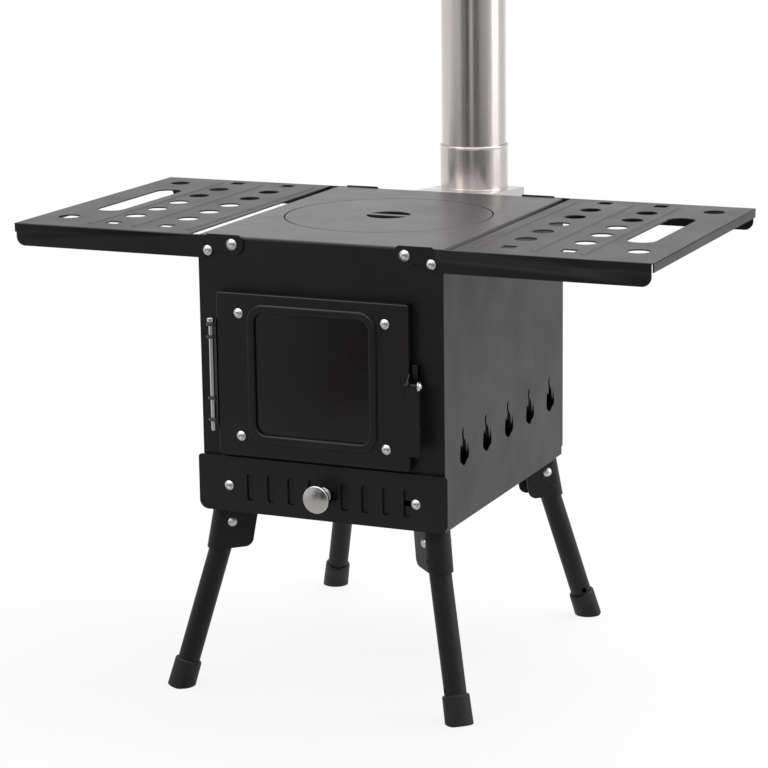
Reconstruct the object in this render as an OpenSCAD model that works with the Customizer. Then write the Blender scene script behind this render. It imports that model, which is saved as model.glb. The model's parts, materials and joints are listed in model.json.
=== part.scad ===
// Tent wood stove: a sheet-steel firebox on four folding legs, with a glass door,
// a sliding air damper, a lift-out cooktop lid, two fold-up side shelves and a rear flue.
// Millimetres. +Z is up and -Y is the front. The origin is on the ground, at the middle of
// the whole stove's box.

/* [Firebox] */
// Width of the firebox across its side panels
body_w = 224; // [200:1:260]
// Depth of the firebox from front panel to rear panel
body_d = 282; // [240:1:340]
// Height of the firebox from its underside to the cooktop
body_h = 238.6; // [225:0.1:280]
// Height of the firebox's underside above the ground
ground_gap = 157.4; // [145:0.1:200]
// Thickness of the firebox's sheet steel
sheet = 1.2; // [1:0.1:1.6]
// Depth of the return flanges that join the panels
return_flange = 12; // [8:1:20]
// Radius of the bends at the panels' outer corners
bend_r = 2.4; // [2:0.1:4]
// Thickness of the cooktop plate
top_t = 2.5; // [2:0.1:4]

/* [Cooktop lid] */
// Radius of the round lid
lid_r = 90.6; // [80:0.1:96]
// Distance of the lid's middle behind the middle of the cooktop
lid_back = 4; // [0:0.1:8]
// Gap between the lid's rim and the cooktop plate
lid_gap = 1.2; // [0.8:0.1:2]
// Width of the ledge that carries the lid
lid_ledge = 7.6; // [5:0.1:12]
// Width of the seat ring's part under the cooktop plate
ring_lap = 6.2; // [4:0.1:10]
// Thickness of the seat ring
ring_t = 1.5; // [1.2:0.1:3]
// Radius of the finger hole in the lid
finger_hole_r = 19.2; // [15:0.1:24]
// Width of the bar across the finger hole
finger_bar_w = 7; // [4:0.1:10]
// Depth of the cup under the finger hole
finger_cup_d = 12; // [8:1:20]

/* [Door] */
// Width of the door
door_w = 176; // [160:1:188]
// Distance of the door's lower edge above the firebox's underside
door_rise = 51.7; // [50:0.1:60]
// Distance of the door's top below the cooktop
door_drop = 46.3; // [40:0.1:55]
// Distance of the door's middle to the left of the stove's middle
door_left = 4; // [0:0.1:6]
// Distance from the front panel to the door's face
door_depth = 9; // [7.5:0.1:14]
// Thickness of the door's sheet steel
door_t = 1.5; // [1.2:0.1:2]
// Radius of the door's corners
door_corner_r = 2.6; // [2:0.1:8]
// Gap between the door's rim and the front panel
door_gap = 0.6; // [0.4:0.1:1]
// Width of the window
window_w = 104.8; // [90:0.1:110]
// Width of the door's face above the window and below it
window_margin = 17.65; // [16:0.05:25]
// Radius of the window's corners
window_corner_r = 9; // [5:0.1:14]
// Width of the raised bead around the window
bead_w = 7; // [4:0.1:8]
// Height of the raised bead around the window
bead_h = 2; // [0.8:0.1:2.5]
// Thickness of the window glass
glass_t = 3; // [2.5:0.1:4]
// Width of the glass hidden behind the window's edge
glass_lap = 5; // [4:0.1:8]
// Thickness of the frame that clamps the glass
retainer_t = 1.2; // [1:0.1:2]
// Distance between the door screws across the door
door_screw_w = 134.2; // [128:0.1:145]
// Distance of the door screws from the door's upper and lower edges
door_screw_in = 17.35; // [15:0.05:20]
// Thickness of the rope gasket around the firebox opening
gasket_t = 4; // [3:0.1:5]

/* [Hinge] */
// Distance of the hinge pin's axis from the door's left edge
hinge_out = 5.6; // [5:0.1:8]
// Distance of the hinge pin's axis in front of the front panel
hinge_front = 8; // [7:0.1:10]
// Radius of the hinge pin
hinge_pin_r = 2; // [1.5:0.1:2.5]
// Distance of the door's upper hinge lug below the door's top
hinge_lug_drop = 28.3; // [20:0.1:35]
// Distance of the door's lower hinge lug above the door's lower edge
hinge_lug_rise = 29.6; // [20:0.1:35]
// Thickness of every hinge lug
hinge_lug_t = 2.5; // [2:0.1:4]
// Distance of the front panel's lugs from the door's lugs, up or down the pin
hinge_tab_in = 14.9; // [12:0.1:18]
// Distance of the front panel's lugs above the middle of the door's lugs
hinge_tab_rise = 4; // [0:0.1:6]
// Radial running clearance of every pivot pin
pivot_clear = 0.05; // [0.03:0.01:0.08]

/* [Latch] */
// Distance of the latch's pivot in front of the front panel
latch_front = 12.6; // [12.4:0.1:18]
// Distance of the latch's pivot below the door's top
latch_drop = 66.3; // [55:0.1:75]
// Distance of the latch handle's end above the door's lower edge
latch_rise = 15.3; // [10:0.1:25]
// Width of the latch handle
latch_w = 9; // [7:0.1:12]
// Radius of the latch's pivot screw
latch_pin_r = 2; // [1.5:0.1:2.5]

/* [Air inlet] */
// Width of the slotted air inlet cover
cover_w = 231; // [205:1:270]
// Height of the air inlet cover
cover_h = 48.6; // [45:0.1:52]
// Height of the free space behind the air inlet cover
cover_gap = 2.2; // [2:0.1:4]
// Radius of the cover's lower corners
cover_low_r = 8; // [4:0.1:12]
// Radius of the cover's upper corners
cover_top_r = 3; // [2:0.1:6]
// Distance between the two cover screws
cover_screw_span = 173.6; // [165:0.1:190]
// Number of air slots on each side of the knob
slots_a_side = 4; // [3:1:4]
// Distance from one air slot to the next
slot_pitch = 19.2; // [18:0.1:19.5]
// Width of an air slot
slot_w = 7; // [5:0.1:8]
// Height of an air slot
slot_h = 24; // [18:0.1:28]
// Distance from the middle of the slots to the nearest slots
slot_mid_gap = 15.15; // [14.8:0.05:16]
// Distance of the slots' middle to the right of the stove's middle
slot_right = 6.5; // [4:0.1:7]
// Travel of the air damper
damper_travel = 9.6; // [9:0.1:9.8]
// Thickness of the damper plate
damper_t = 1; // [0.8:0.1:1.2]
// Radius of the damper knob's head
knob_r = 12; // [9:0.1:14]
// Length of the damper knob in front of its cover
knob_l = 18.6; // [14:0.1:24]
// Distance of the damper knob to the right of the stove's middle
knob_right = 2.6; // [0:0.1:4]

/* [Side shelves] */
// Length of each side shelf from its inner edge to its outer edge
shelf_l = 171; // [160:1:200]
// Gap between the firebox's side and each shelf's inner edge
shelf_gap = 8; // [5:0.1:12]
// Depth of the shelf's front and rear flanges
shelf_flange = 19.6; // [18:0.1:26]
// Depth of the shelf's outer lip
shelf_lip = 8; // [5:0.1:12]
// Distance of each shelf's pivot from the stove's middle
shelf_pivot_x = 78.9; // [72:0.1:80]
// Distance of each shelf's pivot below the cooktop
shelf_pivot_drop = 6.6; // [6:0.1:8]
// Distance of each shelf's stop screw outside its pivot
shelf_stop_out = 23.1; // [21:0.1:26]
// Distance of each shelf's stop screw below its pivot
shelf_stop_drop = 6.3; // [5.5:0.1:7]
// Number of small holes in a row from front to rear
shelf_holes = 7; // [5:1:7]
// Distance from one small hole to the next
shelf_hole_pitch = 39.6; // [34:0.1:40]
// Radius of the small holes
shelf_hole_r = 9.6; // [6:0.1:10.4]
// Width of the small square hole at each end of a row
shelf_square_w = 12.6; // [6:0.1:14]
// Distance of the holes' middle behind the shelf's middle
shelf_holes_back = 7; // [0:0.1:8]
// Length of the hand slot
hand_slot_l = 129; // [100:1:150]
// Width of the hand slot
hand_slot_w = 25; // [20:0.1:30]

/* [Flue] */
// Outer radius of the chimney pipe
pipe_r = 30; // [28:0.1:31]
// Wall thickness of the chimney pipe
pipe_t = 0.8; // [0.6:0.1:1.2]
// Length of the chimney pipe
pipe_l = 340; // [320:1:420]
// Distance of the chimney pipe's axis behind the rear panel
pipe_back = 63; // [60:1:75]
// Height of the flue collar
collar_h = 40; // [30:1:60]
// Wall thickness of the flue collar
collar_t = 1.3; // [1:0.1:3]
// Width of the flue box
flue_w = 73; // [70:1:80]
// Height of the flue box
flue_h = 70; // [60:1:90]
// Distance of the flue box's front top edge below the cooktop
flue_drop = 0.6; // [0.4:0.1:4]
// Fall of the flue box's top from front to rear
flue_fall = 7; // [4:0.1:10]
// Distance from the chimney pipe's axis to the flue box's rear wall
flue_tail = 35.5; // [34.5:0.5:45]

/* [Legs] */
// Outer radius of the leg tube
leg_r = 9.5; // [8:0.1:11]
// Wall thickness of the leg tube
leg_t = 1.2; // [1:0.1:2]
// Angle between each leg and the vertical, in degrees
leg_splay = 18; // [12:0.5:22]
// Distance of the leg's pivot inside the firebox's corner, along the diagonal
leg_pivot_in = 20.5; // [18:0.1:26]
// Distance of the leg's pivot below the firebox
leg_pivot_drop = 12.6; // [12.4:0.1:16]
// Lean of the leg bracket from the vertical, in degrees
bracket_lean = 11; // [6:0.5:14]
// Depth of the leg bracket below the pivot
bracket_drop = 23.5; // [18:0.1:28]
// Thickness of the leg bracket
bracket_t = 1.5; // [1.2:0.1:1.6]
// Radius of the rubber foot
foot_r = 12; // [10.5:0.1:14]
// Length of the rubber foot
foot_l = 26.6; // [18:0.1:40]

/* [Fasteners] */
// Radius of the dome screw heads
screw_head_r = 4.6; // [3:0.1:5]
// Height of the dome screw heads
screw_head_h = 2.4; // [1.5:0.1:3]
// Radius of the screw shanks
screw_r = 2; // [1.5:0.1:2.5]
// Radius of the shelf pivot screws' shoulders
shoulder_r = 3; // [2.5:0.1:3.5]

/* [Hidden] */
$fn = 64;

// General clearances
over = 1;
seat = 0.3;
hole_clear = 0.1;
nut_h = 2;

// Heights
floor_z = ground_gap;
top_z = ground_gap + body_h;

// Leg geometry, along the diagonal from the firebox's corner and up from the ground
corner_share = sqrt(0.5);
pivot_z = floor_z - leg_pivot_drop;
foot_flat = 6;
foot_floor = 9;
foot_end_z = foot_r * sin(leg_splay) - foot_flat;
foot_end_out = (pivot_z - foot_end_z) * tan(leg_splay) - leg_pivot_in;
foot_reach = foot_end_out * corner_share + foot_r * sqrt(1 - pow(sin(leg_splay) * corner_share, 2));

// Places from front to rear: the front panel's face is at front_y
flue_rear = body_d + pipe_back + flue_tail;
front_y = (foot_reach - flue_rear) / 2;
rear_y = front_y + body_d;
mid_y = front_y + body_d / 2;
lid_y = mid_y + lid_back;
pipe_y = rear_y + pipe_back;

// Door places
door_x = -door_left;
door_top = top_z - door_drop;
door_h = body_h - door_drop - door_rise;
door_z = door_top - door_h / 2;
door_face_y = front_y - door_depth;
window_x = door_x;
window_z = door_z + 1.6 * door_t;
window_h = door_h - 2 * window_margin;
door_screw_h = door_h - 2 * door_screw_in;
opening_w = window_w + 2 * bead_w + 33 * sheet;
opening_h = window_h + 8 * sheet;
hinge_x = door_x - door_w / 2 - hinge_out;
hinge_y = front_y - hinge_front;
door_right_x = door_x + door_w / 2;
latch_y = front_y - latch_front;
latch_z = door_top - latch_drop;
latch_l = door_h - latch_drop - latch_rise;
hinge_lug_span = door_h - hinge_lug_drop - hinge_lug_rise;
hinge_tab_span = hinge_lug_span - 2 * hinge_tab_in;

// Air inlet places
cover_z = floor_z + cover_h / 2;
inlet_z = floor_z + cover_h * 0.47;
cover_face_y = front_y - cover_gap - sheet;
slot_x = [for (side = [-1, 1], i = [0 : slots_a_side - 1]) slot_right + side * (slot_mid_gap + i * slot_pitch)];

// Shelf places
shelf_in_x = body_w / 2 + shelf_gap;
shelf_out_x = shelf_in_x + shelf_l;
shelf_air = 0.5;
shelf_pivot_z = top_z - shelf_pivot_drop;
shelf_stop_z = shelf_pivot_z - shelf_stop_drop;
tongue_r = 10;
washer_t = 0.9;
washer_r = 5;

// Flue places
flue_top = top_z - flue_drop;
flue_z = flue_top - flue_h / 2;
flue_lip = 10;
flue_port_w = flue_w - 4 * sheet;
flue_port_h = flue_h - 4 * sheet;
collar_lip = 2;
collar_r = pipe_r + seat + collar_t;
flue_box_d = pipe_back + flue_tail;
flue_slope = flue_fall / flue_box_d;
collar_low_z = flue_top - flue_slope * (pipe_back + collar_r);
collar_z = flue_top - flue_slope * (pipe_back - collar_r);

module rounded(w, h, r) {
    square([w - 2 * r, h], center = true);
    square([w, h - 2 * r], center = true);
    for (x = [-1, 1], y = [-1, 1]) translate([x * (w / 2 - r), y * (h / 2 - r)]) circle(r);
}

module frame_shape(w, h, r, edge) {
    difference() {
        rounded(w, h, r);
        rounded(w - 2 * edge, h - 2 * edge, max(r - edge, r / 4));
    }
}

// Stands a flat outline up in the XZ plane, with its front face at y and its depth going back
module upright(y, t) {
    translate([0, y + t, 0]) rotate([90, 0, 0]) linear_extrude(t) children();
}

// A dome head on a round shank, with the head's seat at the origin and the head up
module dome_screw(head_r, head_h, shank_r, shank_l) {
    ball_r = (head_r * head_r + head_h * head_h) / (2 * head_h);
    rotate_extrude() intersection() {
        translate([0, head_h - ball_r]) circle(ball_r);
        square([head_r, head_h]);
    }
    translate([0, 0, -shank_l]) cylinder(r = shank_r, h = shank_l);
}

module facing_front(x, y, z) {
    translate([x, y, z]) rotate([90, 0, 0]) children();
}

module facing_rear(x, y, z) {
    translate([x, y, z]) rotate([-90, 0, 0]) children();
}

module shelf_fixings() {
    for (side = [-1, 1]) {
        translate([side * shelf_pivot_x, shelf_pivot_z]) children(0);
        translate([side * (shelf_pivot_x + shelf_stop_out), shelf_stop_z]) children(1);
    }
}

module air_slots(w, h, shift = 0) {
    for (x = slot_x) translate([x + shift, inlet_z]) rounded(w, h, w / 2.5);
}

module end_panel_outline() {
    translate([0, floor_z + (body_h - top_t) / 2])
        square([body_w - 2 * sheet, body_h - top_t], center = true);
}

module panel_returns(y) {
    for (side = [-1, 1]) translate([side * (body_w / 2 - 1.5 * sheet) - sheet / 2, y, floor_z + sheet])
        cube([sheet, return_flange, body_h - top_t - sheet]);
}

/* Firebox */

module front_panel() {
    color("#3a3a3c") {
        upright(front_y, sheet) difference() {
            end_panel_outline();
            translate([door_x, door_z]) rounded(opening_w, opening_h, window_corner_r);
            air_slots(slot_w + 2 * hole_clear, slot_h);
            for (side = [-1, 1]) translate([side * cover_screw_span / 2, inlet_z]) circle(screw_r + hole_clear);
            shelf_fixings() {
                circle(screw_r + hole_clear);
                circle(screw_r + hole_clear);
            }
        }
        panel_returns(front_y + sheet);
    }
}

vent_pitch = 51.5;
vents = 5;
vents_back = 5.4;
vent_w = 21;
vent_h = 33;
vent_low = 48;
panel_cut = 18;

// One flame-shaped vent, as shares of its width and height
flame_share = [[0.4, 0], [0.55, 0.02], [0.73, 0.1], [0.89, 0.13], [0.955, 0.25], [0.85, 0.57], [0.73, 0.3],
    [0.66, 0.44], [0.58, 0.62], [0.42, 0.72], [0.36, 0.82], [0.42, 1], [0.285, 0.955], [0.22, 0.84],
    [0.29, 0.7], [0.24, 0.5], [0.08, 0.59], [0, 0.26], [0.05, 0.13]];

module flame() {
    polygon([for (point = flame_share) [(point[0] - 0.5) * vent_w, point[1] * vent_h]]);
}

module side_panel(side) {
    color("#5c5c60") translate([side * (body_w / 2 - sheet / 2) - sheet / 2, 0, 0])
        rotate([90, 0, 90]) linear_extrude(sheet) difference() {
            translate([front_y, floor_z]) square([body_d, body_h - top_t]);
            for (i = [0 : vents - 1])
                translate([mid_y + vents_back + vent_pitch * (i - (vents - 1) / 2), floor_z + vent_low]) flame();
            polygon([[rear_y - panel_cut, floor_z], [rear_y + over, floor_z - over],
                [rear_y + over, floor_z + panel_cut / 2], [rear_y, floor_z + panel_cut / 2]]);
        }
}

module left_side_panel() {
    side_panel(-1);
}

module right_side_panel() {
    side_panel(1);
}

// Each liner stands inside its side panel, so that the vents warm the air behind it,
// and ends below the shelves' screws
liner_gap = 8;
liner_drop = 29.4;
liner_h = body_h - sheet - liner_drop;

module liner(side) {
    liner_x = body_w / 2 - sheet - liner_gap;
    color("#2f2d2c") translate([side * (liner_x - sheet / 2) - sheet / 2, front_y + sheet, floor_z + sheet])
        cube([sheet, body_d - 2 * sheet, liner_h]);
    color("#2f2d2c") for (z = [0, liner_h - sheet])
        translate([side * (liner_x + liner_gap / 2) - liner_gap / 2, front_y + sheet + return_flange,
            floor_z + sheet + z])
            cube([liner_gap, body_d - 2 * sheet - 2 * return_flange, sheet]);
}

module left_liner() {
    liner(-1);
}

module right_liner() {
    liner(1);
}

module rear_panel() {
    color("#3a3a3c") {
        upright(rear_y - sheet, sheet) difference() {
            end_panel_outline();
            translate([0, flue_z]) rounded(flue_port_w, flue_port_h, flue_lip / 2);
            flue_screw_places() circle(screw_r + hole_clear);
            shelf_fixings() {
                circle(screw_r + hole_clear);
                circle(screw_r + hole_clear);
            }
        }
        panel_returns(rear_y - sheet - return_flange);
    }
}

module firebox_floor() {
    inside_w = body_w - 2 * sheet;
    inside_d = body_d - 2 * sheet;
    color("#4a4a4c") difference() {
        translate([-inside_w / 2, front_y + sheet, floor_z]) cube([inside_w, inside_d, sheet]);
        for (place = leg_places) at_leg(place) translate([-leg_pivot_in, 0, floor_z - over])
            for (x = bracket_screw_x) translate([x, 0, 0]) cylinder(r = screw_r + hole_clear, h = sheet + 2 * over);
    }
}

module top_plate() {
    color("#8a888a") translate([0, mid_y, top_z - top_t]) linear_extrude(top_t) difference() {
        rounded(body_w, body_d, bend_r);
        translate([0, lid_back]) circle(lid_r + lid_gap, $fn = 128);
    }
}

module lid_seat_ring() {
    color("#4a4a4c") translate([0, lid_y, top_z - top_t - ring_t]) difference() {
        cylinder(r = lid_r + lid_gap + ring_lap, h = ring_t, $fn = 128);
        translate([0, 0, -over]) cylinder(r = lid_r - lid_ledge, h = ring_t + 2 * over, $fn = 128);
    }
}

module cooktop_lid() {
    color("#9a989a") translate([0, lid_y, top_z - top_t + seat]) linear_extrude(top_t - seat) difference() {
        circle(lid_r, $fn = 128);
        difference() {
            circle(finger_hole_r);
            square([3 * finger_hole_r, finger_bar_w], center = true);
        }
    }
}

module lid_finger_cup() {
    cup_r = finger_hole_r + 2 * sheet;
    color("#3a3a3c") translate([0, lid_y, top_z - top_t + seat - finger_cup_d]) difference() {
        cylinder(r = cup_r, h = finger_cup_d);
        translate([0, 0, sheet]) cylinder(r = cup_r - sheet, h = finger_cup_d);
    }
}

grate_slots = 7;
grate_rows = 3;
grate_slot_w = 7;
grate_slot_l = 62;
grate_margin = 3;
grate_leg = 12;

module fire_grate() {
    grate_w = body_w - 4 * sheet - 2 * liner_gap - 2 * seat;
    grate_d = body_d - 2 * sheet - 2 * return_flange - 2 * grate_margin;
    grate_z = floor_z + cover_h - 3 * sheet;
    color("#2f2d2c") translate([0, mid_y, 0]) {
        translate([0, 0, grate_z]) linear_extrude(sheet) difference() {
            rounded(grate_w, grate_d, bend_r);
            for (row = [0 : grate_rows - 1], i = [0 : grate_slots - 1])
                translate([(i - (grate_slots - 1) / 2) * grate_w / grate_slots,
                    (row - (grate_rows - 1) / 2) * grate_d / grate_rows])
                    rounded(grate_slot_w, grate_slot_l, grate_slot_w / 2.5);
        }
        for (x = [-1, 1], y = [-1, 1])
            translate([x * (grate_w - sheet) / 2 - sheet / 2, y * (grate_d / 2 - grate_leg) - grate_leg / 2,
                floor_z + sheet])
                cube([sheet, grate_leg, grate_z - floor_z - sheet]);
    }
}

/* Air inlet */

module cover_outline() {
    difference() {
        union() {
            translate([0, cover_z]) rounded(cover_w, cover_h, cover_low_r);
            translate([0, cover_z + cover_h / 4]) rounded(cover_w, cover_h / 2, cover_top_r);
        }
        children();
    }
}

module air_inlet_cover() {
    rim_w = body_w - 2 * cover_low_r;
    color("#46464a") {
        upright(cover_face_y, sheet) cover_outline() {
            air_slots(slot_w, slot_h);
            for (side = [-1, 1]) translate([side * cover_screw_span / 2, inlet_z]) circle(screw_r + hole_clear);
            translate([knob_right + damper_travel / 2, inlet_z])
                rounded(damper_travel + 2 * knob_stem_r + 2 * seat, 2 * knob_stem_r + 2 * seat, knob_stem_r);
        }
        for (z = [floor_z, floor_z + cover_h - sheet])
            translate([-rim_w / 2, front_y - cover_gap, z]) cube([rim_w, cover_gap, sheet]);
    }
}

module cover_screws() {
    color("#c8c8c8") for (side = [-1, 1]) facing_front(side * cover_screw_span / 2, cover_face_y, inlet_z)
        dome_screw(screw_head_r, screw_head_h, screw_r, cover_gap + 2 * sheet + nut_h);
}

damper_h = slot_h + 8;
damper_end = 6;
knob_stem_r = 3.5;
knob_collar_r = 7;
knob_collar_h = 1.6;

module air_damper() {
    guide_x = cover_screw_span / 2;
    guide_w = 2 * (screw_r + seat);
    left_x = -guide_x - damper_travel - damper_end;
    right_x = guide_x + damper_end + screw_r;
    color("#2a2a2c") upright(front_y - cover_gap / 2 - damper_t / 2, damper_t) difference() {
        translate([left_x, inlet_z - damper_h / 2]) square([right_x - left_x, damper_h]);
        air_slots(slot_w, slot_h, -damper_travel);
        for (side = [-1, 1]) translate([side * guide_x - damper_travel / 2, inlet_z])
            rounded(damper_travel + guide_w, guide_w, guide_w / 2.01);
    }
}

module damper_knob() {
    stem_start = front_y - cover_gap / 2 - damper_t / 2;
    stem_l = stem_start - cover_face_y + knob_l;
    head_h = knob_l * 0.3;
    color("#cfcfd2") facing_front(knob_right, stem_start, inlet_z) {
        cylinder(r = knob_stem_r, h = stem_l - head_h / 2);
        translate([0, 0, stem_start - cover_face_y + seat]) cylinder(r = knob_collar_r, h = knob_collar_h);
        translate([0, 0, stem_l - head_h]) rotate_extrude() {
            square([knob_r * 0.8, head_h]);
            translate([0, head_h * 0.2]) square([knob_r, head_h * 0.55]);
            translate([knob_r * 0.75, head_h * 0.75]) intersection() {
                circle(knob_r * 0.25);
                square([knob_r * 0.25, head_h * 0.25]);
            }
        }
    }
}

/* Door hinge */

lug_r = 4;

hinge_mid_z = door_top - hinge_lug_drop - hinge_lug_span / 2;

// A lug round the hinge pin, with its body drawn by the children
module hinge_lug(z) {
    translate([0, 0, z - hinge_lug_t / 2]) linear_extrude(hinge_lug_t) difference() {
        union() {
            translate([hinge_x, hinge_y]) circle(lug_r);
            children();
        }
        translate([hinge_x, hinge_y]) circle(hinge_pin_r + pivot_clear);
    }
}

module hinge_bracket() {
    bracket_z = hinge_mid_z + hinge_tab_rise;
    bracket_h = hinge_tab_span + 5 * hinge_lug_t;
    color("#46464a") {
        for (side = [-1, 1]) hinge_lug(bracket_z + side * hinge_tab_span / 2)
            translate([hinge_x - lug_r, hinge_y]) square([2 * lug_r, hinge_front]);
        translate([hinge_x - lug_r, front_y - sheet, bracket_z - bracket_h / 2])
            cube([2 * lug_r, sheet, bracket_h]);
    }
}

pin_tail = 9;
pin_head_h = 4;
pin_head_share = 1.6;

module hinge_pin() {
    head_z = hinge_mid_z + hinge_lug_span / 2 + hinge_lug_t / 2 + seat;
    tail_z = hinge_mid_z - hinge_lug_span / 2 - hinge_lug_t / 2 - pin_tail;
    color("#d4d4d8") translate([hinge_x, hinge_y, 0]) {
        translate([0, 0, tail_z]) cylinder(r = hinge_pin_r, h = head_z - tail_z);
        translate([0, 0, head_z]) cylinder(r = hinge_pin_r * pin_head_share, h = pin_head_h);
    }
}

module door_hinge_leaf() {
    leaf_x = hinge_x + hinge_out;
    leaf_h = hinge_lug_span + 4 * hinge_lug_t;
    color("#b8b8bc") {
        translate([leaf_x - sheet, hinge_y - lug_r / 2, hinge_mid_z - leaf_h / 2])
            cube([sheet, hinge_front + lug_r / 2 - door_gap - sheet, leaf_h]);
        for (side = [-1, 1]) hinge_lug(hinge_mid_z + side * hinge_lug_span / 2)
            translate([hinge_x, hinge_y - lug_r]) square([hinge_out - sheet / 2, 2 * lug_r]);
    }
}

/* Door */

module door_screw_places() {
    for (x = [-1, 1], z = [-1, 1])
        translate([door_x + x * door_screw_w / 2, door_z + z * door_screw_h / 2]) children();
}

module door_panel() {
    rim_d = door_depth - door_gap;
    color("#46464a") {
        upright(door_face_y, door_t) difference() {
            translate([door_x, door_z]) rounded(door_w, door_h, door_corner_r);
            translate([window_x, window_z]) rounded(window_w, window_h, window_corner_r);
            door_screw_places() circle(screw_r + hole_clear);
        }
        upright(door_face_y, rim_d) translate([door_x, door_z])
            frame_shape(door_w, door_h, door_corner_r, door_t);
        upright(door_face_y - bead_h, bead_h) translate([window_x, window_z])
            frame_shape(window_w + 2 * bead_w, window_h + 2 * bead_w, window_corner_r + bead_w, bead_w);
    }
}

glass_y = door_face_y + door_t;

module door_glass() {
    color("#3a2a22") upright(glass_y, glass_t) translate([window_x, window_z])
        rounded(window_w + 2 * glass_lap, window_h + 2 * glass_lap, window_corner_r);
}

module glass_retainer() {
    retainer_w = door_screw_w + 4 * screw_r + 2 * hole_clear;
    retainer_h = window_h + 2 * glass_lap + 2 * retainer_t;
    color("#3a3a3c") upright(glass_y + glass_t, retainer_t) difference() {
        translate([window_x, window_z]) rounded(retainer_w, retainer_h, door_corner_r);
        translate([window_x, window_z]) rounded(window_w, window_h, window_corner_r);
        door_screw_places() circle(screw_r + hole_clear);
    }
}

module door_gasket() {
    gasket_w = door_w - 2 * door_t - 2 * seat;
    gasket_h = door_h - 2 * door_t - 2 * seat;
    gasket_depth = door_depth - door_t - seat;
    color("#d8d4c8") upright(door_face_y + door_t, gasket_depth) translate([door_x, door_z])
        frame_shape(gasket_w, gasket_h, window_corner_r, gasket_t);
}

module door_screws() {
    color("#c8c8c8") door_screws_3d();
}

module door_screws_3d() {
    for (x = [-1, 1], z = [-1, 1])
        facing_front(door_x + x * door_screw_w / 2, door_face_y, door_z + z * door_screw_h / 2)
            dome_screw(screw_head_r, screw_head_h, screw_r, door_t + glass_t + retainer_t);
}

/* Latch */

ear_r = 3.2;
ear_rise = 9;
latch_nut_r = 3.2;
latch_ear_x = door_right_x;
latch_in_x = latch_ear_x + sheet + seat;
latch_out_x = latch_in_x + latch_w;
hook_h = 6;
keeper_h = 16;
keeper_depth = 5;
keeper_w = 5;

module latch_bracket() {
    color("#46464a") translate([latch_ear_x, 0, 0]) rotate([90, 0, 90]) linear_extrude(sheet) difference() {
        union() {
            translate([latch_y, latch_z]) circle(ear_r);
            polygon([[latch_y, latch_z - ear_r], [front_y - 2 * sheet, latch_z - ear_r],
                [front_y - 2 * sheet, latch_z + ear_rise], [door_face_y, latch_z + ear_rise],
                [latch_y - ear_r * 0.85, latch_z + ear_r * 0.5]]);
        }
        translate([latch_y, latch_z]) circle(latch_pin_r + hole_clear);
    }
}

module latch_screw() {
    shank_l = latch_out_x + seat - latch_ear_x + nut_h;
    color("#c8c8c8") translate([latch_out_x + seat, latch_y, latch_z]) rotate([0, 90, 0]) {
        dome_screw(screw_head_r, screw_head_h, latch_pin_r, shank_l);
        translate([0, 0, -shank_l]) cylinder(r = latch_nut_r, h = nut_h);
    }
}

grip_flare = 1.6;
grip_share = 0.45;
wall_r = ear_r + sheet / 2;

module latch_side() {
    difference() {
        union() {
            translate([latch_y, latch_z]) circle(wall_r);
            translate([latch_y - wall_r, latch_z - latch_l]) square([2 * wall_r, latch_l]);
            children();
        }
        translate([latch_y, latch_z]) circle(latch_pin_r + pivot_clear);
    }
}

// The handle hangs beside the door; its hook points back at the keeper on the front panel
module latch_handle() {
    nose_r = latch_front - keeper_depth - sheet - seat;
    color("#2e2e30") {
        translate([latch_in_x, 0, 0]) rotate([90, 0, 90]) linear_extrude(sheet) latch_side()
            intersection() {
                translate([latch_y, latch_z]) circle(nose_r);
                translate([latch_y, latch_z - hook_h / 2]) square([nose_r, hook_h]);
            }
        translate([latch_out_x - sheet, 0, 0]) rotate([90, 0, 90]) linear_extrude(sheet) latch_side();
        translate([latch_in_x, latch_y - wall_r, latch_z - latch_l]) cube([latch_w, sheet, latch_l]);
        translate([latch_out_x - sheet, latch_y - wall_r, latch_z - latch_l])
            cube([sheet + grip_flare, sheet, latch_l * grip_share]);
    }
}

module latch_keeper() {
    keeper_x = latch_in_x + seat;
    color("#46464a") translate([keeper_x, 0, latch_z]) {
        translate([0, front_y - keeper_depth - sheet, 0]) cube([keeper_w, sheet, keeper_h]);
        for (z = [0, keeper_h - sheet]) translate([0, front_y - keeper_depth, z])
            cube([keeper_w, keeper_depth, sheet]);
    }
}

/* Side shelves */

hand_slot_in = 42;
outer_hole_in = 28;
outer_hole_reach = 103;
hole_row_in = 37.5;
hole_row_step = 52;
rib_w = 7;
rib_h = 0.8;
rib_end = 16;
rib_share = [0.06, 0.37, 0.62];
flange_r = 8;
corner_relief = 0.8;
tongue_rise = 1.2;

// The right shelf's flange outline in XZ, with its tongue round the pivot and its stop notch
module shelf_flange_outline() {
    stop_x = shelf_pivot_x + shelf_stop_out;
    stop_r = screw_r + seat;
    low_z = top_z - shelf_flange;
    out_x = shelf_out_x - corner_relief - sheet;
    difference() {
        union() {
            translate([stop_x, low_z + flange_r]) square([out_x - stop_x, shelf_flange - flange_r]);
            translate([stop_x, low_z]) square([out_x - flange_r - stop_x, flange_r + over]);
            translate([out_x - flange_r, low_z + flange_r]) circle(flange_r);
            translate([shelf_pivot_x, shelf_stop_z])
                square([shelf_stop_out + over, top_z + tongue_rise - shelf_stop_z]);
            translate([shelf_pivot_x, shelf_pivot_z]) circle(tongue_r);
        }
        translate([0, top_z + tongue_rise]) square([shelf_out_x, tongue_r]);
        translate([shelf_pivot_x, shelf_pivot_z]) circle(shoulder_r + pivot_clear);
        translate([stop_x, shelf_stop_z]) circle(stop_r);
        polygon([[stop_x + stop_r, shelf_stop_z], [stop_x + stop_r, low_z - over],
            [stop_x - 3.4 * stop_r, low_z - over], [stop_x - 3.4 * stop_r, shelf_stop_z - 1.2 * stop_r],
            [stop_x - stop_r, shelf_stop_z]]);
    }
}

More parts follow.
